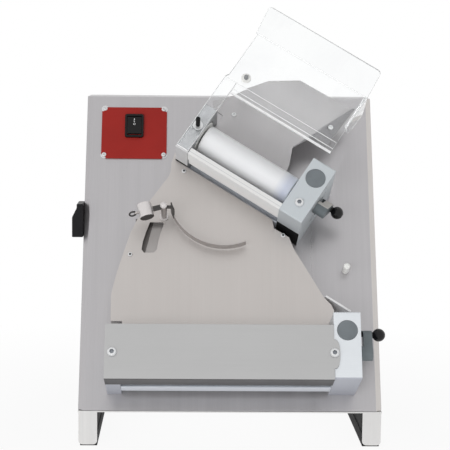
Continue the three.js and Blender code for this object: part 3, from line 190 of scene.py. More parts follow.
def moulded_grain_effect():
    """The close pebbled skin of moulded plastic and cast metal."""
    group, given, result = new_group(
        "moulded grain",
        [("Vector", "NodeSocketVector", None), ("Scale", "NodeSocketFloat", 1400.0)],
        [("Tone", "NodeSocketFloat"), ("Height", "NodeSocketFloat")],
    )
    cells = shader_node(group, "ShaderNodeTexVoronoi", {"Vector": given["Vector"], "Scale": given["Scale"]})
    patch = noise(group, given["Vector"], combined(group, "MULTIPLY", given["Scale"], 0.05), 3.0)
    group.links.new(cells.outputs["Distance"], result["Height"])
    group.links.new(patch, result["Tone"])
    return group


def worn_edge_effect():
    """Where a surface turns sharply, as far as the radius reaches."""
    group, given, result = new_group(
        "worn edge", [("Radius", "NodeSocketFloat", 0.0006), ("Strength", "NodeSocketFloat", 4.0)],
        [("Mask", "NodeSocketFloat")],
    )
    rounded = shader_node(group, "ShaderNodeBevel", {"Radius": given["Radius"]}, samples=4)
    true_side = shader_node(group, "ShaderNodeNewGeometry").outputs["Normal"]
    along = shader_node(group, "ShaderNodeVectorMath", {0: rounded.outputs[0], 1: true_side},
                        operation="DOT_PRODUCT")
    turn = combined(group, "SUBTRACT", 1.0, along.outputs["Value"])
    mask = combined(group, "MULTIPLY", turn, given["Strength"], use_clamp=True)
    group.links.new(mask, result["Mask"])
    return group


def handling_effect():
    """Faint wiped patches where hands and cloths have been."""
    group, given, result = new_group(
        "handling", [("Vector", "NodeSocketVector", None), ("Scale", "NodeSocketFloat", 14.0)],
        [("Mask", "NodeSocketFloat")],
    )
    patch = noise(group, given["Vector"], given["Scale"], 4.0, Roughness=0.6, Distortion=0.8)
    spread = shader_node(group, "ShaderNodeMapRange", {"Value": patch, "From Min": 0.42, "From Max": 0.72})
    group.links.new(spread.outputs[0], result["Mask"])
    return group


BRUSHED = brushed_grain_effect()
MOULDED = moulded_grain_effect()
WORN = worn_edge_effect()
HANDLED = handling_effect()


def effect(tree, group, inputs):
    """An effect placed in a material, with the material's own values."""
    return shader_node(tree, "ShaderNodeGroup", inputs, node_tree=group).outputs


def new_finish(name, metallic, shine=0.5):
    """A material with its surface shader; shine is the level of reflection at a right angle."""
    material = bpy.data.materials.new(name)
    material.use_nodes = True
    tree = material.node_tree
    surface = tree.nodes["Principled BSDF"]
    surface.inputs["Metallic"].default_value = metallic
    surface.inputs["Specular IOR Level"].default_value = shine
    return material, tree, surface


def own_place(tree, turn=(0, 0, 0)):
    """Coordinates on the piece, turned so that the second axis follows the grain."""
    place = shader_node(tree, "ShaderNodeTexCoord").outputs["Object"]
    mapping = {"Vector": place, "Rotation": turn}
    return shader_node(tree, "ShaderNodeMapping", mapping, vector_type="TEXTURE").outputs[0]


def blended(tree, factor, dark, light):
    """The first colour where the factor is zero, the second where it is one."""
    mix = shader_node(tree, "ShaderNodeMix", {"Factor": factor}, data_type="RGBA")
    for key, value in (("A", dark), ("B", light)):
        fill_socket(tree, [s for s in mix.inputs if s.name == key and s.type == "RGBA"][0], value)
    return [s for s in mix.outputs if s.type == "RGBA"][0]


def ranged(tree, value, low, high, start=0.3, end=0.7):
    """A value that runs from low to high while the given one runs from start to end."""
    made = shader_node(tree, "ShaderNodeMapRange", {"Value": value, "From Min": start, "From Max": end,
                                                    "To Min": low, "To Max": high})
    return made.outputs[0]


def coat(tree, surface, tone, roughness):
    """Feeds a surface its colour and its roughness."""
    tree.links.new(tone, surface.inputs["Base Color"])
    tree.links.new(roughness, surface.inputs["Roughness"])


def relief(tree, surface, height, strength, reach):
    """Fine relief on a surface; reach is its depth in metres."""
    bump = shader_node(tree, "ShaderNodeBump", {"Height": height, "Strength": strength, "Distance": reach})
    tree.links.new(bump.outputs[0], surface.inputs["Normal"])


def scaled(shade, factor):
    """A shade made lighter or darker."""
    return (shade[0] * factor, shade[1] * factor, shade[2] * factor, 1)


def brushed_sheet(name, shade, turn, depth=0.06, rough=(0.30, 0.44), lines=900.0, length=10.0, metallic=0.75):
    """Brushed stainless sheet: grain in colour, gloss and relief, wiped patches and polished edges."""
    clouding, polish, wiped_dull = 0.95, 1.22, 0.05
    material, tree, surface = new_finish(name, metallic)
    place = own_place(tree, turn)
    grain = effect(tree, BRUSHED, {"Vector": place, "Lines": lines, "Length": length, "Clouds": 7.0})
    wiped = effect(tree, HANDLED, {"Vector": place, "Scale": 11.0})["Mask"]
    edge = effect(tree, WORN, {"Radius": 0.0007, "Strength": 3.0})["Mask"]
    grained = blended(tree, ranged(tree, grain["Tone"], 0, 1, 0.32, 0.68), scaled(shade, 1 - depth),
                      scaled(shade, 1 + depth))
    clouded = blended(tree, ranged(tree, grain["Cloud"], 0.0, 0.5), grained, scaled(shade, clouding))
    worn = blended(tree, edge, clouded, scaled(shade, polish))
    gloss = ranged(tree, grain["Tone"], rough[0], rough[1])
    coat(tree, surface, worn, combined(tree, "ADD", gloss, combined(tree, "MULTIPLY", wiped, wiped_dull)))
    relief(tree, surface, grain["Height"], 0.12, 0.04 * MM)
    return material


def milled_block(name, shade, turn, depth, metallic):
    """Milled aluminium with close, short tool marks."""
    return brushed_sheet(name, shade, turn, depth, (0.38, 0.5), 1500.0, 40.0, metallic)


def moulded_skin(name, shade, rough, metallic=0.0, shine=0.3, scale=1400.0, depth=0.08, pebble=0.1,
                 wear=1.35):
    """Moulded plastic, cast or painted metal: pebbled skin, uneven gloss and rubbed edges."""
    material, tree, surface = new_finish(name, metallic, shine)
    place = own_place(tree)
    skin = effect(tree, MOULDED, {"Vector": place, "Scale": scale})
    wiped = effect(tree, HANDLED, {"Vector": place, "Scale": 40.0})["Mask"]
    edge = effect(tree, WORN, {"Radius": 0.0006, "Strength": 2.5})["Mask"]
    dark, light = scaled(shade, 1 - depth), scaled(shade, 1 + depth)
    toned = blended(tree, ranged(tree, skin["Tone"], 0, 1), dark, light)
    worn = blended(tree, edge, toned, scaled(shade, wear))
    coat(tree, surface, worn, ranged(tree, wiped, rough, rough + 0.1, 0, 1))
    relief(tree, surface, skin["Height"], pebble, 0.05 * MM)
    return material


def turned_metal(name, shade, rough, metallic=0.9):
    """Turned and polished metal with fine tool rings and small scratches."""
    groove, ridge, polish = 0.93, 1.05, 1.15
    material, tree, surface = new_finish(name, metallic)
    place = own_place(tree)
    rings = effect(tree, BRUSHED, {"Vector": place, "Lines": 2600.0, "Length": 160.0, "Clouds": 60.0})
    edge = effect(tree, WORN, {"Radius": 0.0004, "Strength": 3.0})["Mask"]
    toned = blended(tree, ranged(tree, rings["Tone"], 0, 1), scaled(shade, groove), scaled(shade, ridge))
    worn = blended(tree, edge, toned, scaled(shade, polish))
    coat(tree, surface, worn, ranged(tree, rings["Cloud"], rough, rough + 0.12))
    relief(tree, surface, rings["Height"], 0.08, 0.03 * MM)
    return material


def roller_plastic(name, block_shade_fade=None):
    """White plastic: a faint turned pattern, soft depth, a satin gloss and a soft sheen.

    The painted bluish shade and reflection of the right block at the roller's end is a direction, and the
    places along it where it starts and is complete.
    """
    shade, block_shade_colour = colour(240, 241, 243), colour(206, 211, 224)
    light_depth, sheen_spread = 0.01, 0.45
    material, tree, surface = new_finish(name, 0.0)
    place = own_place(tree)
    rings = effect(tree, BRUSHED, {"Vector": place, "Lines": 500.0, "Length": 30.0, "Clouds": 22.0})
    wiped = effect(tree, HANDLED, {"Vector": place, "Scale": 30.0})["Mask"]
    toned = blended(tree, ranged(tree, rings["Cloud"], 0, 1), scaled(shade, 0.97), shade)
    if block_shade_fade:
        along, start, end = block_shade_fade
        reach = shader_node(tree, "ShaderNodeVectorMath", {0: place, 1: along}, operation="DOT_PRODUCT")
        toned = blended(tree, ranged(tree, reach.outputs["Value"], 0, 1, start, end), toned, block_shade_colour)
    coat(tree, surface, toned, ranged(tree, wiped, 0.34, 0.46, 0, 1))
    surface.inputs["Subsurface Weight"].default_value = 1.0
    surface.inputs["Subsurface Radius"].default_value = (1.0, 1.0, 1.0)
    surface.inputs["Subsurface Scale"].default_value = light_depth
    surface.inputs["Sheen Weight"].default_value = 1.0
    surface.inputs["Sheen Roughness"].default_value = sheen_spread
    relief(tree, surface, rings["Height"], 0.05, 0.04 * MM)
    return material


SHEET_IOR = 1.47


def clear_sheet(name, transmission):
    """Clear polished sheet with the faintest haze of wiping."""
    material, tree, surface = new_finish(name, 0.0)
    place = own_place(tree)
    wiped = effect(tree, HANDLED, {"Vector": place, "Scale": 16.0})["Mask"]
    tone = blended(tree, wiped, colour(252, 253, 253), colour(247, 248, 249))
    coat(tree, surface, tone, ranged(tree, wiped, 0.015, 0.05, 0, 1))
    surface.inputs["Transmission Weight"].default_value = transmission
    surface.inputs["IOR"].default_value = SHEET_IOR
    return material


def cut_edge_sheet(name, transmission):
    """The sawn and polished edge of the clear sheet, frosted near-white and painted as a highlight where it
    gathers light.
    """
    material, tree, surface = new_finish(name, 0.0)
    place = own_place(tree)
    saw = effect(tree, BRUSHED, {"Vector": place, "Lines": 700.0, "Length": 700.0, "Clouds": 50.0})
    tone = blended(tree, ranged(tree, saw["Tone"], 0, 1), colour(240, 242, 243), colour(252, 252, 252))
    coat(tree, surface, tone, ranged(tree, saw["Tone"], 0.22, 0.4))
    surface.inputs["Transmission Weight"].default_value = transmission
    surface.inputs["IOR"].default_value = SHEET_IOR
    return material


def red_enamel():
    """Printed red plate: flat deep red with a soft orange peel and rubbed edges."""
    shade, rubbed = colour(158, 44, 39), colour(190, 120, 112)
    material, tree, surface = new_finish("red enamel", 0.0, shine=0.12)
    place = own_place(tree)
    peel = effect(tree, MOULDED, {"Vector": place, "Scale": 420.0})
    wiped = effect(tree, HANDLED, {"Vector": place, "Scale": 35.0})["Mask"]
    edge = effect(tree, WORN, {"Radius": 0.0005, "Strength": 3.0})["Mask"]
    toned = blended(tree, ranged(tree, peel["Tone"], 0, 1), scaled(shade, 0.94), scaled(shade, 1.05))
    worn = blended(tree, edge, toned, rubbed)
    coat(tree, surface, worn, ranged(tree, wiped, 0.3, 0.42, 0, 1))
    relief(tree, surface, peel["Height"], 0.06, 0.06 * MM)
    return material


# Grain directions, and where painted shade and reflection of the right block start on the upper roller's
# right end

FLAT = (0, 0, 0)
UPRIGHT = (LEAN, 0, 0)
ACROSS = (LEAN, 0, math.pi / 2)
UPPER_GRAIN = (LEAN, 0, -UPPER_TURN)
BLOCK_SHADE_ALONG = UPPER.to_3x3().col[0].normalized()
BLOCK_SHADE_FROM, BLOCK_SHADE_TO = (
    BLOCK_SHADE_ALONG.dot(UPPER @ Vector((from_block, AXIS_HEIGHT, FRONT_AXIS))) for from_block in (-26, -12)
)

FINISH = {
    "cabinet": brushed_sheet("cabinet steel", colour(184, 182, 184), UPRIGHT, rough=(0.26, 0.4)),
    # bevel: cabinet steel made lighter, a painted highlight on the right and top edges
    "bevel": brushed_sheet("cabinet steel with painted edge highlight", colour(206, 202, 199), UPRIGHT, rough=(0.26, 0.4)),
    "back": brushed_sheet("back cover steel", colour(180, 179, 180), FLAT),
    "base": brushed_sheet("base steel", colour(222, 221, 220), FLAT),
    "chute": brushed_sheet("chute steel", colour(196, 191, 188), UPRIGHT, depth=0.035),
    # slot and its deep shade: chute steel darkened as painted shade in the slot and its pan
    "slot": brushed_sheet("chute steel with painted slot shade", colour(182, 178, 176), UPRIGHT, depth=0.035),
    "slot_deep_painted_shade": brushed_sheet("painted deep shade in the chute slot", colour(112, 108, 106), UPRIGHT, depth=0.035),
    "cover": brushed_sheet("cover steel", colour(186, 186, 186), ACROSS, depth=0.035),
    # lip: near-black steel, painted shade on the cover's downward lip
    "lip": brushed_sheet("cover steel with painted lip shade", colour(52, 51, 54), ACROSS, depth=0.05),
    "feed": brushed_sheet("feed plate steel", colour(172, 170, 171), UPPER_GRAIN, depth=0.045),
    # wing: feed plate steel darkened as painted shade on the bent wing
    "wing": brushed_sheet("feed plate steel with painted wing shade", colour(136, 135, 137), UPPER_GRAIN, depth=0.045),
    "block": milled_block("milled aluminium", colour(226, 230, 234), ACROSS, 0.03, 0.55),
    # painted shade on the lower blocks' undersides and where they sink behind the chute's edge
    "block_underside_painted_shade": milled_block("milled aluminium with painted shade underneath", colour(178, 181, 190), ACROSS, 0.03, 0.55),
    # painted light on the upper left block's underside
    "left_underside_painted_light": milled_block("milled aluminium with painted light underneath", colour(208, 208, 209), UPPER_GRAIN, 0.06, 0.2),
    # the upper blocks as a whole are darkened as painted shade, the left one most
    "upper_block": milled_block("milled aluminium with painted shade, turned grain", colour(199, 205, 209), UPPER_GRAIN, 0.04, 0.3),
    "left_block": milled_block("milled aluminium with deeper painted shade", colour(168, 169, 171), UPPER_GRAIN, 0.04, 0.55),
    "scraper": brushed_sheet("scraper aluminium", colour(211, 215, 222), ACROSS, depth=0.03,
                             rough=(0.3, 0.42), metallic=0.3),
    "upper_scraper": brushed_sheet("pale scraper aluminium", colour(234, 234, 233), UPPER_GRAIN, depth=0.02,
                                   rough=(0.34, 0.46), metallic=0.0),
    "scraper_floor": brushed_sheet("scraper sheet", colour(238, 237, 236), UPPER_GRAIN, depth=0.02,
                                   metallic=0.0),
    "seam": brushed_sheet("seam", colour(206, 207, 208), UPPER_GRAIN, depth=0.02, metallic=0.0),
    "bright": turned_metal("bright steel", colour(190, 188, 188), 0.24),
    "guide": turned_metal("polished bar", colour(232, 232, 233), 0.3, metallic=0.3),
    "screw": turned_metal("zinc screw", colour(222, 223, 224), 0.3, metallic=0.7),
    # socket: zinc darkened as painted shade in the large screws' sockets
    "socket": turned_metal("zinc with painted socket shade", colour(146, 150, 156), 0.4, metallic=0.6),
    "weight": turned_metal("bright weight", colour(214, 210, 209), 0.3, metallic=0.6),
    "blade": turned_metal("spring steel", colour(184, 179, 177), 0.28, metallic=0.85),
    "link": turned_metal("dark steel", colour(70, 68, 67), 0.3, metallic=0.7),
    "gear": turned_metal("gear steel", colour(96, 99, 103), 0.35),
    "zinc": turned_metal("plated plate", colour(150, 152, 154), 0.38, metallic=0.8),
    "roller": roller_plastic("white roller plastic"),
    # upper roller: painted bluish shade and reflection of the right block at its right end
    "upper_roller_block_shade": roller_plastic("upper roller plastic with painted block shade", (tuple(BLOCK_SHADE_ALONG), BLOCK_SHADE_FROM, BLOCK_SHADE_TO)),
    "cap": moulded_skin("grey cap plastic", colour(119, 125, 129), 0.42, shine=0.2),
    "lever": moulded_skin("cast lever", colour(108, 115, 118), 0.42, metallic=0.35, scale=900.0),
    # painted highlight on the upper lever's flat that faces the operator
    "lever_highlight": moulded_skin("cast lever with painted highlight", colour(196, 193, 188), 0.36, metallic=0.5, scale=700.0,
                               depth=0.05, wear=1.1),
    "knob": moulded_skin("knob plastic", colour(12, 12, 14), 0.14, shine=0.3, scale=1800.0, pebble=0.02),
    "black": moulded_skin("black plastic", colour(20, 20, 22), 0.4, shine=0.2, scale=1500.0),
    "switch": moulded_skin("switch plastic", colour(8, 8, 9), 0.2, shine=0.25, scale=2200.0, pebble=0.04),
    "rubber": moulded_skin("black rubber", colour(24, 24, 25), 0.72, shine=0.2, scale=1100.0, pebble=0.3,
                           wear=1.6),
    "belt": moulded_skin("belt rubber", colour(28, 28, 29), 0.65, shine=0.2, scale=1600.0, pebble=0.3),
    "nylon": moulded_skin("white nylon", colour(243, 243, 240), 0.32, scale=1600.0, depth=0.02, pebble=0.04,
                          wear=1.02),
    "mark": moulded_skin("white marking", colour(225, 226, 226), 0.5, scale=1800.0, depth=0.02, wear=1.0),
    "motor": moulded_skin("motor paint", colour(92, 104, 114), 0.42, metallic=0.2, scale=800.0),
    "clear": clear_sheet("clear sheet", 1.0),
    "hazed": clear_sheet("hazed clear sheet", 0.86),
    # sawn edges frosted white; these and the rims also carry a painted highlight of the bends
    "sawn_edge_and_highlight": cut_edge_sheet("clear sheet edge with painted highlight", 0.1),
    "sheet_rim_and_highlight": cut_edge_sheet("clear sheet rim with painted highlight", 0.7),
    "red": red_enamel(),
}


# Shaping tools

def round_edges(bm, width, segments=2, sharper_than=25):
    """Rounds every edge that turns by more than the angle."""
    limit = math.radians(sharper_than)
    edges = [e for e in bm.edges if len(e.link_faces) == 2 and e.calc_face_angle() > limit]
    bmesh.ops.bevel(bm, geom=edges, offset=width, offset_type="OFFSET", affect="EDGES", segments=segments,
                    profile=0.5, material=-1, clamp_overlap=True)


def turned(profile, sides=64):
    """A closed solid turned about Z from its half outline of radius and height."""
    bm = bmesh.new()
    line = [bm.verts.new((radius, 0, height)) for radius, height in profile]
    chain = [bm.edges.new(pair) for pair in zip(line, line[1:])]
    bmesh.ops.spin(bm, geom=line + chain, cent=(0, 0, 0), axis=(0, 0, 1), dvec=(0, 0, 0),
                   angle=2 * math.pi, steps=sides, use_merge=True)
    bmesh.ops.remove_doubles(bm, verts=bm.verts, dist=0.0005)
    bmesh.ops.dissolve_degenerate(bm, edges=bm.edges, dist=0.0005)
    bmesh.ops.recalc_face_normals(bm, faces=bm.faces)
    return bm


def arc(centre_radius, centre_height, radius, start, end, steps):
    """Points of a rounding for a turned outline, in degrees from straight out."""
    points = []
    for step in range(steps + 1):
        angle = math.radians(start + (end - start) * step / steps)
        points.append((centre_radius + radius * math.cos(angle), centre_height + radius * math.sin(angle)))
    return points


def cut_through(bm, point, across, part=None):
    """Cuts the whole shape, or a part of it, by a plane through a point."""
    part = part or [*bm.verts, *bm.edges, *bm.faces]
    bmesh.ops.bisect_plane(bm, geom=part, dist=0.001, plane_co=point, plane_no=across)


def thicken(bm, height):
    """Makes a plate of a flat outline on Z zero."""
    made = bmesh.ops.extrude_face_region(bm, geom=list(bm.faces))["geom"]
    bmesh.ops.translate(bm, vec=(0, 0, height), verts=[g for g in made if isinstance(g, bmesh.types.BMVert)])
    bmesh.ops.recalc_face_normals(bm, faces=bm.faces)


def each_once(elements):
    """The elements without repeats and in their order, so that every run makes the same shape."""
    return list(dict.fromkeys(elements))


def verts_of(edges):
    """The vertices that some edges join."""
    return each_once(vertex for edge in edges for vertex in edge.verts)


def body_with(node):
    """The body that a node belongs to."""
    bodies = frame["record"]["behaviour"]["bodies"]
    return [name for name, members in bodies.items() if node in members][0]


def new_object(name, bm, materials):
    """An object at the origin, made of a finished shape."""
    mesh = bpy.data.meshes.new(name)
    bm.to_mesh(mesh)
    bm.free()
    for material in materials:
        mesh.materials.append(material)
    made = bpy.data.objects.new(name, mesh)
    bpy.context.scene.collection.objects.link(made)
    return made


def add_piece(name, bm, place, finishes, body, stands_for=(), smooth_to=33):
    """Puts a shape in its place in metres and lets it ride on its body."""
    bmesh.ops.transform(bm, matrix=place, verts=bm.verts)
    piece = new_object(name, bm, [FINISH[finish] for finish in finishes])
    piece.data.shade_smooth()
    piece.data.set_sharp_from_angle(angle=math.radians(smooth_to))
    shading = piece.modifiers.new("even shading", "WEIGHTED_NORMAL")
    shading.keep_sharp = True
    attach(piece, body)
    if stands_for:
        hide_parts(*stands_for)
    return piece


def dress(node, finish):
    """Gives a node's own solid a finish, where its shape is already right."""
    slots = nodes[node].data.materials
    slots.clear()
    slots.append(FINISH[finish])


def merged_solid(name):
    """A copy of a node's solid with its vertices merged and its flats whole."""
    bm = bmesh.new()
    bm.from_mesh(nodes[name].data)
    bmesh.ops.remove_doubles(bm, verts=bm.verts, dist=0.01 * MM)
    bmesh.ops.dissolve_limit(bm, angle_limit=math.radians(0.5), verts=bm.verts, edges=bm.edges,
                             delimit={"NORMAL"})
    return bm


def softened(name, width, finishes, segments=2, paint=None, place=None, alter=None):
    """Stands for a node with the same solid, its edges rounded as the real ones are.

    Paint picks a finish for a face from its middle and its normal in the given place, in millimetres.
    """
    bm = merged_solid(name)
    into = place.inverted() if place else Matrix()
    bmesh.ops.transform(bm, matrix=into, verts=bm.verts)
    if alter:
        alter(bm)
    if paint:
        for face in bm.faces:
            face.material_index = paint(face.calc_center_median(), face.normal)
    round_edges(bm, width if place else width * MM, segments)
    return add_piece(name + "_rounded", bm, place or Matrix(), finishes, body_with(name), [name])


# Screw with a domed head, a round collar and a hexagonal socket

def ring_of(bm, radius, height, sides=36, corners=0):
    """A ring of vertices, drawn in to a polygon where corners are given."""
    made = bmesh.ops.create_circle(bm, cap_ends=False, radius=radius, segments=sides)["verts"]
    for vertex in made:
        vertex.co.z = height
        if corners:
            pitch = 2 * math.pi / corners
            angle = math.atan2(vertex.co.y, vertex.co.x) % pitch - pitch / 2
            vertex.co.xy *= math.cos(pitch / 2) / math.cos(angle)
    return each_once(edge for vertex in made for edge in vertex.link_edges)


HEAD_OUTLINE = [(1.0, 0.3), (0.93, 0.62), (0.78, 0.88), (0.62, 1.0)]
SOCKET_OUTLINE = [(1.04, 1.0), (1.0, 0.93), (1.0, 0.25)]


def socket_screw(radius, rise, socket, washer=0.0):
    """Button-head screw, standing on Z zero, with a washer under it where one is given.

    Its head and its hexagonal socket follow shares of the radius and of the rise; the socket takes the second
    finish, a painted shade.
    """
    bm = bmesh.new()
    seat, below_rim = 0.02, 0.97
    base = 0.8 if washer else 0.0
    foot = [(washer, 0.0), (washer, base - 0.15), (washer - 0.2, base)] if washer else [(radius, 0.0)]
    rings = [ring_of(bm, out, height) for out, height in foot]
    rings.append(ring_of(bm, radius, base + seat))
    rings += [ring_of(bm, out * radius, base + up * rise) for out, up in HEAD_OUTLINE]
    rings += [ring_of(bm, out * socket, base + up * rise, corners=6) for out, up in SOCKET_OUTLINE]
    for outer, inner in zip(rings, rings[1:]):
        bmesh.ops.bridge_loops(bm, edges=outer + inner)
    bmesh.ops.edgeloop_fill(bm, edges=rings[0])
    bmesh.ops.edgeloop_fill(bm, edges=rings[-1])
    bmesh.ops.recalc_face_normals(bm, faces=bm.faces)
    for face in bm.faces:
        middle = face.calc_center_median()
        # faces inside the socket take the second finish: painted shade
        face.material_index = int(middle.xy.length < socket and middle.z < base + below_rim * rise)
    return bm


SCREW_SIZES = {
    "large": {"radius": 6.8, "rise": 3.9, "socket": 3.3},
    "plate": {"radius": 3.9, "rise": 2.6, "socket": 1.5, "washer": 5.4},
    "chute": {"radius": 3.5, "rise": 2.2, "socket": 1.7},
    "feed": {"radius": 3.8, "rise": 2.2, "socket": 2.0},
}


def add_screw(name, kind, unit, place, turn, socket_shade="black", stands_for=()):
    """A screw of one of the sizes, standing on a face of the cabinet's body, with painted shade in its
    socket.
    """
    standing = unit @ Matrix.Translation(place) @ Matrix.Rotation(turn, 4, "Z")
    shape = socket_screw(**SCREW_SIZES[kind])
    return add_piece(name, shape, standing, ["screw", socket_shade], "cabinet", stands_for)


# Cabinet, back, base and feet; the places are in millimetres on the panel or in a unit

SLOT_LEFT, SLOT_RIGHT = -141, -85
SLOT_FOOT, SLOT_TOP = 216, 278
BELOW_CHUTE = 47.6
SHADE_START = Vector((-124.5, 232.9, 0))
SHADE_ACROSS = Vector((0.971, -0.240, 0))
FOLD_FOOT = Vector((-42.7, 111, 0))
FOLD_ACROSS = Vector((0.929, -0.371, 0))


def slot_cut(bm):
    """Cuts the pan's floor where its left part lies in the wall's shade, so that part takes darker painted
    shade.
    """
    cut_through(bm, SHADE_START, SHADE_ACROSS)


def slot_paint(middle, normal):
    """Painted shade in the chute's slot and the pan behind it, darkest at the left and the top, which no
    light reaches.
    """
    in_outline = SLOT_LEFT < middle.x < SLOT_RIGHT and SLOT_FOOT < middle.y < SLOT_TOP
    if not in_outline or middle.z >= BELOW_CHUTE:
        return 0
    floor_in_shade = (middle - SHADE_START).dot(SHADE_ACROSS) < 0 and normal.z > 0.5
    return 2 if floor_in_shade or normal.y < -0.5 else 1


def cabinet_paint(middle, normal):
    """Painted highlight on the edges on the right and along the top, which catch the light."""
    return int(normal.y < -0.2 and (normal.x > 0.3 or normal.z > 0.6))


def lip_paint(middle, normal):
    """Painted shade on the lower cover's lip, which faces down."""
    return int(normal.y < -0.5)


def fold_cut(bm):
    """Cuts the feed plate's face along the fold of its wing, and level with the fold's lower end."""
    cut_through(bm, FOLD_FOOT, FOLD_ACROSS)
    cut_through(bm, FOLD_FOOT, (0, 1, 0))


def feed_paint(middle, normal):
    """Painted shade on the plate's right wing, which is bent back, out of the light."""
    beyond_fold = (middle - FOLD_FOOT).dot(FOLD_ACROSS) > 0
    return int(middle.y > FOLD_FOOT.y and beyond_fold and normal.z > 0.3)


softened("cabinet_shell", 1.0, ["cabinet", "bevel"], 3, paint=cabinet_paint)
softened("back_cover", 0.5, ["back"])
softened("base_frame", 0.5, ["base"])
softened("left_runner_pad", 1.0, ["rubber"])
softened("right_runner_pad", 1.0, ["rubber"])
softened("drive_plate", 0.6, ["zinc"])
softened("chute_plate", 0.7, ["chute", "slot", "slot_deep_painted_shade"], place=PANEL, paint=slot_paint, alter=slot_cut)
softened("chute_guide_bar", 0.5, ["guide"])
softened("lower_cover", 0.6, ["cover", "lip"], place=LOWER, paint=lip_paint)
softened("upper_feed_plate", 0.5, ["feed", "wing"], place=UPPER, paint=feed_paint, alter=fold_cut)
softened("control_plate", 0.4, ["red"])
softened("switch_housing", 0.7, ["switch"], 3)
softened("switch_rocker", 0.35, ["switch"], 3)
softened("side_socket_box", 1.2, ["black"], 3)


# Roller units; places are Y up the slope and Z out of the panel, from the unit's corner

BORE = {"rear": 9.3, "front": 11.1}
GEAR_ROOM = {"lower": 299.5, "upper": 158.0}
ECCENTRIC_RISE = 1.6 * 0.88
BAR_FROM = 84.5
BAR_LIP_HEIGHT, BAR_LIP_FROM, BAR_LIP_RISE = 3.9, 83, 2.6
SEAM_FOOT, SEAM_TOP = 4.3, 5.1
BEHIND_EDGE = 52


def roller(name, unit):
    """Long plastic tube with rounded ends, as long as the solid that it stands for."""
    place = middle_of(name, unit)
    low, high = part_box(name)
    along = place.to_3x3().normalized().col[0]
    size = high - low
    swell = 2 * ROLLER_RADIUS * MM * math.sqrt(1 - along.x ** 2)
    half = (size.x - swell) / abs(along.x) / MM / 2
    bore, edge = BORE[name.split("_")[1]], 2.5
    profile = [
        (bore, -half),
        *arc(ROLLER_RADIUS - edge, -half + edge, edge, -90, 0, 6),
        *arc(ROLLER_RADIUS - edge, half - edge, edge, 0, 90, 6),
        (bore, half), (bore, -half),
    ]
    upright = place @ Matrix.Rotation(math.pi / 2, 4, "Y")
    finish = "upper_roller_block_shade" if name.startswith("upper") else "roller"
    return add_piece(name + "_tube", turned(profile, 96), upright, [finish], body_with(name), [name], 40)


def cap(name, unit):
    """Grey cap pressed into the block's face, with a fine dished rim."""
    place = unit @ Matrix.Translation((RIGHT_BLOCK_MIDDLE, 69.3, 0))
    base, radius, chamfer, edge, dish = 99.0, 14.5, 0.4, 0.5, 0.25
    profile = [
        (0, base), (radius - chamfer, base), (radius, base + chamfer),
        *arc(radius - edge, BLOCK_FACE - edge, edge, 0, 90, 3),
        (radius - 1.6, BLOCK_FACE), (radius - 2.0, BLOCK_FACE - dish), (0, BLOCK_FACE - dish),
    ]
    return add_piece(name + "_disc", turned(profile, 72), place, ["cap"], body_with(name), [name])


def knob(name, unit, lever_degrees):
    """Ball knob with a short neck on its pin."""
    tip, face, ball, reach, arm = 38.3, 57.1, 9.3, 19.5, 31.0
    pin, neck = 2.6, 4.2
    middle = face + reach - ball
    flat = middle + 0.9 * ball
    profile = [
        (0, tip), (pin - 0.4, tip), (pin, tip + 0.4), (pin, face),
        (neck, face), (neck + 0.3, face + 0.3), (neck + 0.1, face + 1.6),
        *arc(0, middle, ball, -58, 62, 16),
        (3.6, middle + 0.94 * ball), (3.1, flat), (0, flat),
    ]
    lever_axis = unit @ Matrix.Translation((0, AXIS_HEIGHT - ECCENTRIC_RISE, FRONT_AXIS))
    lever = lever_axis @ Matrix.Rotation(math.radians(lever_degrees), 4, "X")
    place = lever @ Matrix.Translation((0, arm, 0)) @ Matrix.Rotation(math.pi / 2, 4, "Y")
    return add_piece(name + "_ball", turned(profile, 64), place, ["knob"], body_with(name), [name], 40)


def gear_shield(prefix, unit):
    """Thin plate that closes the gear room in the left block, with a hole for each journal."""
    reach, rear_hole, front_hole, thickness, behind = 26.0, 10.0, 12.6, 0.4, 0.45
    apart = FRONT_AXIS - REAR_AXIS
    bm = bmesh.new()
    rim = ring_of(bm, reach, 0.0, 48)
    for vertex in verts_of(rim):
        if vertex.co.y > 0.001:
            vertex.co.y += apart
    rear = ring_of(bm, rear_hole, 0.0, 32)
    front = ring_of(bm, front_hole, 0.0, 32)
    bmesh.ops.translate(bm, vec=(0, apart, 0), verts=verts_of(front))
    bmesh.ops.triangle_fill(bm, edges=rim + rear + front, use_beauty=True, use_dissolve=False)
    thicken(bm, thickness)
    upright = Matrix(((0, 0, 1, 0), (1, 0, 0, 0), (0, 1, 0, 0), (0, 0, 0, 1)))
    place = unit @ Matrix.Translation((-GEAR_ROOM[prefix] - behind, AXIS_HEIGHT, REAR_AXIS)) @ upright
    return add_piece(prefix + "_gear_shield", bm, place, ["nylon"], "cabinet")


def raise_bar(bm):
    """Draws the scraper bar's lip up to the roller and cuts a fine seam along its face."""
    for vertex in bm.verts:
        if vertex.co.y > BAR_LIP_HEIGHT and vertex.co.z > BAR_LIP_FROM:
            vertex.co.y += BAR_LIP_RISE
    for height in (SEAM_FOOT, SEAM_TOP):
        cut_through(bm, (0, height, 0), (0, 1, 0))


def scraper_paint(middle, normal):
    """The upper scraper's bar is pale with a darker seam; the sheet that carries it is plain steel."""
    if middle.z < BAR_FROM:
        return 1
    return 2 if SEAM_FOOT < middle.y < SEAM_TOP else 0


def lever_paint(degrees):
    """Painted highlight on the flat that faces the operator on the upper lever, where the light falls; the
    rest stays as cast.
    """
    angle = math.radians(degrees + 90)
    flat = Vector((0, math.cos(angle), math.sin(angle)))
    lit_upper_lever = degrees == LEVER_DEGREES["upper"]
    return lambda middle, normal: int(lit_upper_lever and normal.dot(flat) > 0.9)


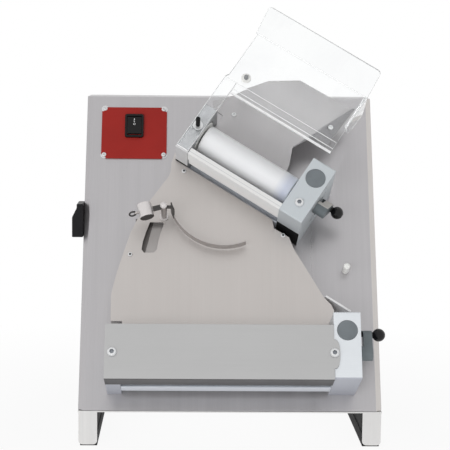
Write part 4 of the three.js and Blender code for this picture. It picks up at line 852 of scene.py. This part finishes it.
def crevice_cut(bm):
    """Cuts a block's underside where it sinks behind the chute's edge, where the darkest painted shade goes.
    """
    cut_through(bm, (0, 0, BEHIND_EDGE), (0, 0, 1))


def underside_paint(middle, normal):
    """The underside, and where it sinks behind the chute's edge: faces for painted shade, or for painted
    light on the upper left block's underside.
    """
    if normal.y > -0.7:
        return 0
    return 1 if middle.z > BEHIND_EDGE else 2


BLOCK_FINISHES = {
    "lower_left_block": ["block", "block_underside_painted_shade", "block_underside_painted_shade"],
    "lower_right_block": ["block", "block_underside_painted_shade", "block_underside_painted_shade"],
    # the black rubber behind the chute's edge under the upper blocks is painted shade, not a part
    "upper_left_block": ["left_block", "left_underside_painted_light", "rubber"],
    "upper_right_block": ["upper_block", "upper_block", "rubber"],
}
for prefix, unit in UNITS.items():
    for name in (prefix + "_left_block", prefix + "_right_block"):
        softened(name, 0.6, BLOCK_FINISHES[name], place=unit, paint=underside_paint, alter=crevice_cut)
    if prefix == "upper":
        softened("upper_front_scraper", 0.3, ["upper_scraper", "scraper_floor", "seam"], place=unit,
                 paint=scraper_paint, alter=raise_bar)
    else:
        softened("lower_front_scraper", 0.3, ["scraper"], place=unit)
    softened(prefix + "_rear_scraper", 0.3, ["scraper"])
    softened(prefix + "_thickness_lever", 0.8, ["lever", "lever_highlight"], 3, place=unit,
             paint=lever_paint(LEVER_DEGREES[prefix]))
    gear_shield(prefix, unit)
    roller(prefix + "_rear_roller", unit)
    roller(prefix + "_front_roller", unit)
    cap(prefix + "_block_cap", unit)
    knob(prefix + "_lever_knob", unit, LEVER_DEGREES[prefix])
    for part in ("rear_shaft", "roller_sleeve", "eccentric_shaft"):
        dress(f"{prefix}_{part}", "bright")
    for part in ("rear_gear", "front_gear"):
        dress(f"{prefix}_{part}", "gear")


# Guard of clear sheet, its cut edges and its two studs; places are in the upper unit

PANE_FOOT = 100
PANE_HIGHLIGHTS = [(114.4, 116.6), (120.8, 121.8), (131.5, 132.5)]
HIGHLIGHTS_FROM = -158
NARROW_FACE = 4.4
CHEEK_FROM = 10
RIM_FROM = 118


def cut_line(bm, height):
    """Cuts the front pane across at a height, at the edge of a painted highlight line."""
    faces = [f for f in bm.faces if f.normal.z > 0.8 and f.calc_center_median().y > PANE_FOOT]
    edges = each_once(edge for face in faces for edge in face.edges)
    cut_through(bm, (0, height, 0), (0, 1, 0), faces + edges + verts_of(edges))


def guard():
    """The bent guard: broad faces stay clear; the sawn edges are frosted white with a painted highlight, and
    the rims and the lines across the front pane are painted highlights of its bends and lower edge.
    """
    edge_rounding = 0.55
    bm = merged_solid("upper_guard")
    bmesh.ops.transform(bm, matrix=UPPER.inverted(), verts=bm.verts)
    for face in bm.faces:
        width = 2 * face.calc_area() / face.calc_perimeter()
        face.material_index = int(width < NARROW_FACE)
    for foot, top in PANE_HIGHLIGHTS:
        cut_line(bm, foot)
        cut_line(bm, top)
    for face in bm.faces:
        middle = face.calc_center_median()
        on_highlight = any(foot < middle.y < top for foot, top in PANE_HIGHLIGHTS)
        # white lines painted across the flat front pane: painted highlights of its bends and lower edge
        if face.normal.z > 0.8 and middle.x > HIGHLIGHTS_FROM and on_highlight:
            face.material_index = 1
        if abs(face.normal.x) > 0.9 and middle.x > CHEEK_FROM and not face.material_index:
            face.material_index = 2
    sharp = [e for e in bm.edges if len(e.link_faces) == 2 and e.calc_face_angle() > math.radians(25)]
    rounded = bmesh.ops.bevel(bm, geom=sharp, offset=edge_rounding, offset_type="OFFSET", affect="EDGES",
                              segments=1, profile=0.5, material=-1, clamp_overlap=False)
    for face in rounded["faces"]:
        face.material_index = 3 if face.calc_center_median().y > RIM_FROM else 1
    finishes = ["clear", "sawn_edge_and_highlight", "hazed", "sheet_rim_and_highlight"]
    sheet = add_piece("upper_guard_sheet", bm, UPPER, finishes, "cabinet", ["upper_guard"], 20)
    sheet.visible_shadow = False
    return sheet


def stud(name, x, y, reach, finishes):
    """Threaded stud with a pale washer."""
    washer, chamfer, crest, root, pitch = 7.4, 0.3, 3.2, 2.75, 1.25
    shoulder = GUARD_FACE + 2.0
    top = shoulder + reach
    profile = [
        (0, GUARD_FACE), (washer - 0.2, GUARD_FACE), (washer, GUARD_FACE + chamfer),
        (washer, shoulder - chamfer), (washer - chamfer, shoulder), (crest, shoulder),
    ]
    height = shoulder + 1.0
    while height < top - 1.2:
        profile += [(crest, height), (root, height + pitch / 2)]
        height += pitch
    profile += [(crest, top - 0.9), (crest - 0.6, top), (0, top)]
    bm = turned(profile, 40)
    for face in bm.faces:
        face.material_index = int(face.calc_center_median().z >= shoulder + 0.1)
    place = UPPER @ Matrix.Translation((x, y, 0))
    return add_piece(name + "_threaded", bm, place, finishes, "cabinet", [name])


guard()
stud("guard_stud_lower", -168.0, 43.0, 24.0, ["screw", "black"])
stud("guard_stud_upper", -149.8, 145.3, 6.0, ["nylon", "zinc"])


# Screws: the large ones stand for nodes, the small ones are in the scene only

LARGE_SCREWS = [
    ("lower_cover_screw_left", LOWER, (-310.0, 35.8, COVER_FACE), 0.2),
    ("lower_cover_screw_right", LOWER, (0.0, 35.8, COVER_FACE), 0.7),
    ("upper_block_screw", UPPER, (RIGHT_BLOCK_MIDDLE, 24.4, BLOCK_FACE), 0.4),
]
SMALL_SCREWS = [
    ("control_plate_screw", "plate", PANEL, PANEL_FACE, 0.3,
     [(-191.9, 473.6), (-101.4, 473.2), (-192.1, 396.9), (-101.1, 397.4)]),
    ("chute_screw", "chute", PANEL, CHUTE_FACE, 0.5, [(-147.3, 221.6), (-69.6, 352.8), (76.9, 252.5)]),
    ("feed_plate_screw", "feed", UPPER, FEED_PLATE_FACE, 0.5, [(-144.2, 106.6), (-11.3, 168.8)]),
]

for node, unit, place, turn in LARGE_SCREWS:
    add_screw(node + "_head", "large", unit, place, turn, "socket", [node])
for name, kind, unit, face, turn, places in SMALL_SCREWS:
    for count, (x, y) in enumerate(places, 1):
        add_screw(f"{name}_{count}", kind, unit, (x, y, face), turn * count)


# Stop peg, rocker and its weight; a point of the rocker is given from its pivot along the link

ROD_REACH = 93.6
WEIGHT_PLACE = (-27, 0, ROD_REACH)
LINK_FROM, LINK_TO, LINK_HALF = -17.0, -4.6, 4.5
BLADE_ROOT_FROM, BLADE_ROOT_TO, BLADE_ROOT_FOOT = 3.0, 22.0, -12.0
EYE_FROM, EYE_PAINT_FROM, EYE_TURN = -43.0, -41.0, 70


def stop_peg():
    """Peg with a well rounded end, standing on the panel at the chute's right."""
    foot, radius, chamfer, rounding, end = 0.3, 5.0, 0.4, 3.5, 27.0
    profile = [
        (0, foot), (radius - chamfer, foot), (radius, foot + chamfer),
        *arc(radius - rounding, end - rounding, rounding, 0, 90, 10),
        (0, end),
    ]
    place = PANEL @ Matrix.Translation((172.6, 213.6, 0))
    return add_piece("stop_peg_round", turned(profile, 48), place, ["nylon"], "cabinet", ["stop_peg"], 50)


def pivot_bolt():
    """The rocker's pivot: a broad foot on the chute, a thin shank and a domed head."""
    base, ledge, head, foot_radius, chamfer, shank = 48.3, 50.6, 97.2, 6.5, 0.3, 2.4
    profile = [
        (0, base), (foot_radius - chamfer, base), (foot_radius, base + chamfer),
        (foot_radius, ledge - chamfer), (foot_radius - chamfer, ledge), (shank, ledge),
        (shank, head), (5.0, head), (5.0, head + 2.2),
        *arc(0, head - 0.3, 5.3, 28, 90, 8),
    ]
    place = PANEL @ Matrix.Translation(ROCKER_PIVOT)
    bolt = turned(profile, 48)
    return add_piece("rocker_pivot_bolt_round", bm=bolt, place=place, finishes=["weight"], body="cabinet",
                     stands_for=["rocker_pivot_bolt"], smooth_to=40)


def counterweight():
    """Turned weight across the link, with a shallow dish in one end and painted shade in dark steel on the
    other.
    """
    half, radius, chamfer, dish_radius, dish = 11.0, 10.5, 0.8, 4.0, 0.6
    profile = [
        (0, -half), (radius - chamfer, -half), (radius, -half + chamfer),
        (radius, half - chamfer), (radius - chamfer, half),
        (dish_radius, half), (dish_radius - dish, half - dish), (0, half - dish),
    ]
    bm = turned(profile, 64)
    for face in bm.faces:
        # one end takes dark steel as painted shade
        face.material_index = int(face.calc_center_median().z < chamfer - half)
    place = ARM @ Matrix.Translation(WEIGHT_PLACE) @ Matrix.Rotation(-math.pi / 2, 4, "X")
    return add_piece("rocker_counterweight_round", bm, place, ["weight", "link"], "rocker",
                     ["rocker_counterweight"])


def turn_eye(bm):
    """Turns the eye at the rod's end on edge."""
    eye = [vertex for vertex in bm.verts if vertex.co.x < EYE_FROM]
    on_edge = Matrix.Rotation(math.radians(EYE_TURN), 3, "X")
    bmesh.ops.rotate(bm, cent=Vector((0, 0, ROD_REACH)), matrix=on_edge, verts=eye)


def rocker_paint(middle, normal):
    """The link, the blade's root and the eye are dark steel; the hub and the blade are bright spring steel.
    """
    link = LINK_FROM < middle.x < LINK_TO and abs(middle.y) < LINK_HALF
    root = BLADE_ROOT_FROM < middle.x < BLADE_ROOT_TO and middle.y > BLADE_ROOT_FOOT
    return int(link or root or middle.x < EYE_PAINT_FROM)


stop_peg()
pivot_bolt()
counterweight()
softened("rocker_arm", 0.25, ["blade", "link"], place=ARM, paint=rocker_paint, alter=turn_eye)


# Marks on the switch

def switch_marks():
    """Bar, dot and ring of the two positions, printed on the raised half of the button."""
    pivot, rest_tilt = (-146.6, 443.7, 6.1), math.radians(-7)
    crown, slope, thickness, sunk = 0.8, 1.0 / 15.1, 0.12, 0.02
    ring_outer, ring_inner = 1.7, 1.1
    button = PANEL @ Matrix.Translation(pivot) @ Matrix.Rotation(rest_tilt, 4, "X")
    for name, y, half_size in (("on", 10.2, (0.55, 1.7)), ("dot", 6.3, (0.9, 0.9)), ("off", 2.2, None)):
        bm = bmesh.new()
        if half_size:
            bmesh.ops.create_circle(bm, cap_ends=True, radius=1, segments=24)
            bmesh.ops.scale(bm, vec=(*half_size, 1), verts=bm.verts)
        else:
            outer = ring_of(bm, ring_outer, 0, 32)
            inner = ring_of(bm, ring_inner, 0, 32)
            bmesh.ops.bridge_loops(bm, edges=outer + inner)
        thicken(bm, thickness)
        height = crown + slope * y - sunk
        place = button @ Matrix.Translation((0, y, height)) @ Matrix.Rotation(math.atan(slope), 4, "X")
        add_piece("switch_mark_" + name, bm, place, ["mark"], "switch_button")


switch_marks()


# Drive and cable gland, whose solids are already right

DRIVE_FINISHES = {
    "motor": "motor",
    "motor_shaft": "bright",
    "jackshaft": "bright",
    "lower_belt": "belt",
    "cross_belt": "belt",
    "upper_belt": "belt",
    "cable_gland": "black",
}
for node, finish in DRIVE_FINISHES.items():
    dress(node, finish)


# Floor, light and camera

WHITE = (1, 1, 1, 1)
DOME_STRENGTH = 0.28
LAMPS_AIM = Vector((0, 0, 0.3))


def seen_plainly(tree, path):
    """One where the camera, a reflection or the clear sheet looks at the surroundings."""
    seen = combined(tree, "MAXIMUM", path["Is Camera Ray"], path["Is Glossy Ray"])
    return combined(tree, "MAXIMUM", seen, path["Is Transmission Ray"])


def floor_finish():
    """Pale floor that stays white to the camera and keeps a soft shadow near the machine."""
    dark, light = (0.9, 0.9, 0.9, 1), (0.93, 0.93, 0.93, 1)
    near, near_whiteness, far = 0.3, 0.92, 0.9
    bounce = 0.8
    material = bpy.data.materials.new("pale floor")
    material.use_nodes = True
    tree = material.node_tree
    tree.nodes.clear()
    place = shader_node(tree, "ShaderNodeTexCoord").outputs["Object"]
    mottle = noise(tree, place, 3.0, 2.0)
    matt = shader_node(tree, "ShaderNodeBsdfDiffuse", {"Color": blended(tree, mottle, dark, light)})
    glow = shader_node(tree, "ShaderNodeEmission", {"Color": WHITE, "Strength": 1.0})
    path = shader_node(tree, "ShaderNodeLightPath").outputs
    away = shader_node(tree, "ShaderNodeVectorMath", {0: place}, operation="LENGTH").outputs["Value"]
    whiteness = ranged(tree, away, near_whiteness, 1.0, near, far)
    bounced = combined(tree, "MULTIPLY", path["Is Diffuse Ray"], bounce)
    seen = combined(tree, "MAXIMUM", seen_plainly(tree, path), bounced)
    share = combined(tree, "MULTIPLY", seen, whiteness)
    mix = shader_node(tree, "ShaderNodeMixShader", {0: share, 1: matt.outputs[0], 2: glow.outputs[0]})
    shader_node(tree, "ShaderNodeOutputMaterial", {"Surface": mix.outputs[0]})
    return material


def floor():
    """Wide floor, a hair under the feet."""
    bm = bmesh.new()
    bmesh.ops.create_grid(bm, x_segments=8, y_segments=8, size=9)
    ground = new_object("floor", bm, [floor_finish()])
    ground.location.z = -0.0005


def studio():
    """White surroundings to the eye and in reflections, a gentler dome for the shading."""
    world = bpy.data.worlds.new("studio")
    bpy.context.scene.world = world
    world.use_nodes = True
    tree = world.node_tree
    tree.nodes.clear()
    path = shader_node(tree, "ShaderNodeLightPath").outputs
    dome = shader_node(tree, "ShaderNodeBackground", {"Color": WHITE, "Strength": DOME_STRENGTH})
    white = shader_node(tree, "ShaderNodeBackground", {"Color": WHITE, "Strength": 1.0})
    seen = seen_plainly(tree, path)
    mix = shader_node(tree, "ShaderNodeMixShader", {0: seen, 1: dome.outputs[0], 2: white.outputs[0]})
    shader_node(tree, "ShaderNodeOutputWorld", {"Surface": mix.outputs[0]})


def softbox(name, place, size, brightness):
    """A large soft lamp that shades the object and stays out of its reflections."""
    lamp = bpy.data.lights.new(name, "AREA")
    lamp.shape = "RECTANGLE"
    lamp.size, lamp.size_y = size
    lamp.energy = math.pi * size[0] * size[1] * brightness
    holder = bpy.data.objects.new(name, lamp)
    holder.location = place
    holder.rotation_euler = (LAMPS_AIM - Vector(place)).to_track_quat("-Z", "Y").to_euler()
    holder.visible_glossy = False
    bpy.context.scene.collection.objects.link(holder)


def camera():
    """The photograph's view: a long lens in front, a little above the middle and looking slightly down."""
    turn, drop, roll = 0.026123, 0.116746, 0.010561
    ahead = Vector((math.sin(turn) * math.cos(drop), math.cos(turn) * math.cos(drop), -math.sin(drop)))
    side = Vector((math.cos(turn), -math.sin(turn), 0))
    over = side.cross(ahead)
    right = math.cos(roll) * side + math.sin(roll) * over
    top = -math.sin(roll) * side + math.cos(roll) * over
    data = bpy.data.cameras.new("camera")
    data.lens = 118.54
    data.sensor_width = 36
    holder = bpy.data.objects.new("camera", data)
    turned_to = Matrix((right, top, -ahead)).transposed().to_4x4()
    panel_foot = Vector((0, 0, 0.0518))
    from_panel = Vector((-0.06515, -2.09348, 0.56819)) - panel_foot
    holder.matrix_world = Matrix.Translation(PANEL.translation + from_panel) @ turned_to
    bpy.context.scene.collection.objects.link(holder)
    bpy.context.scene.camera = holder


floor()
studio()
softbox("top light", place=(0.3, 0.9, 2.3), size=(1.8, 1.2), brightness=0.8)
softbox("key", place=(-0.2, -1.6, 2.6), size=(2.2, 2.2), brightness=0.45)
softbox("front", place=(-0.7, -2.7, 0.45), size=(1.6, 0.8), brightness=7.5)
softbox("low fill", place=(-1.8, -2.2, 0.25), size=(2.0, 0.5), brightness=4)
camera()
bpy.context.scene.view_settings.view_transform = "Standard"
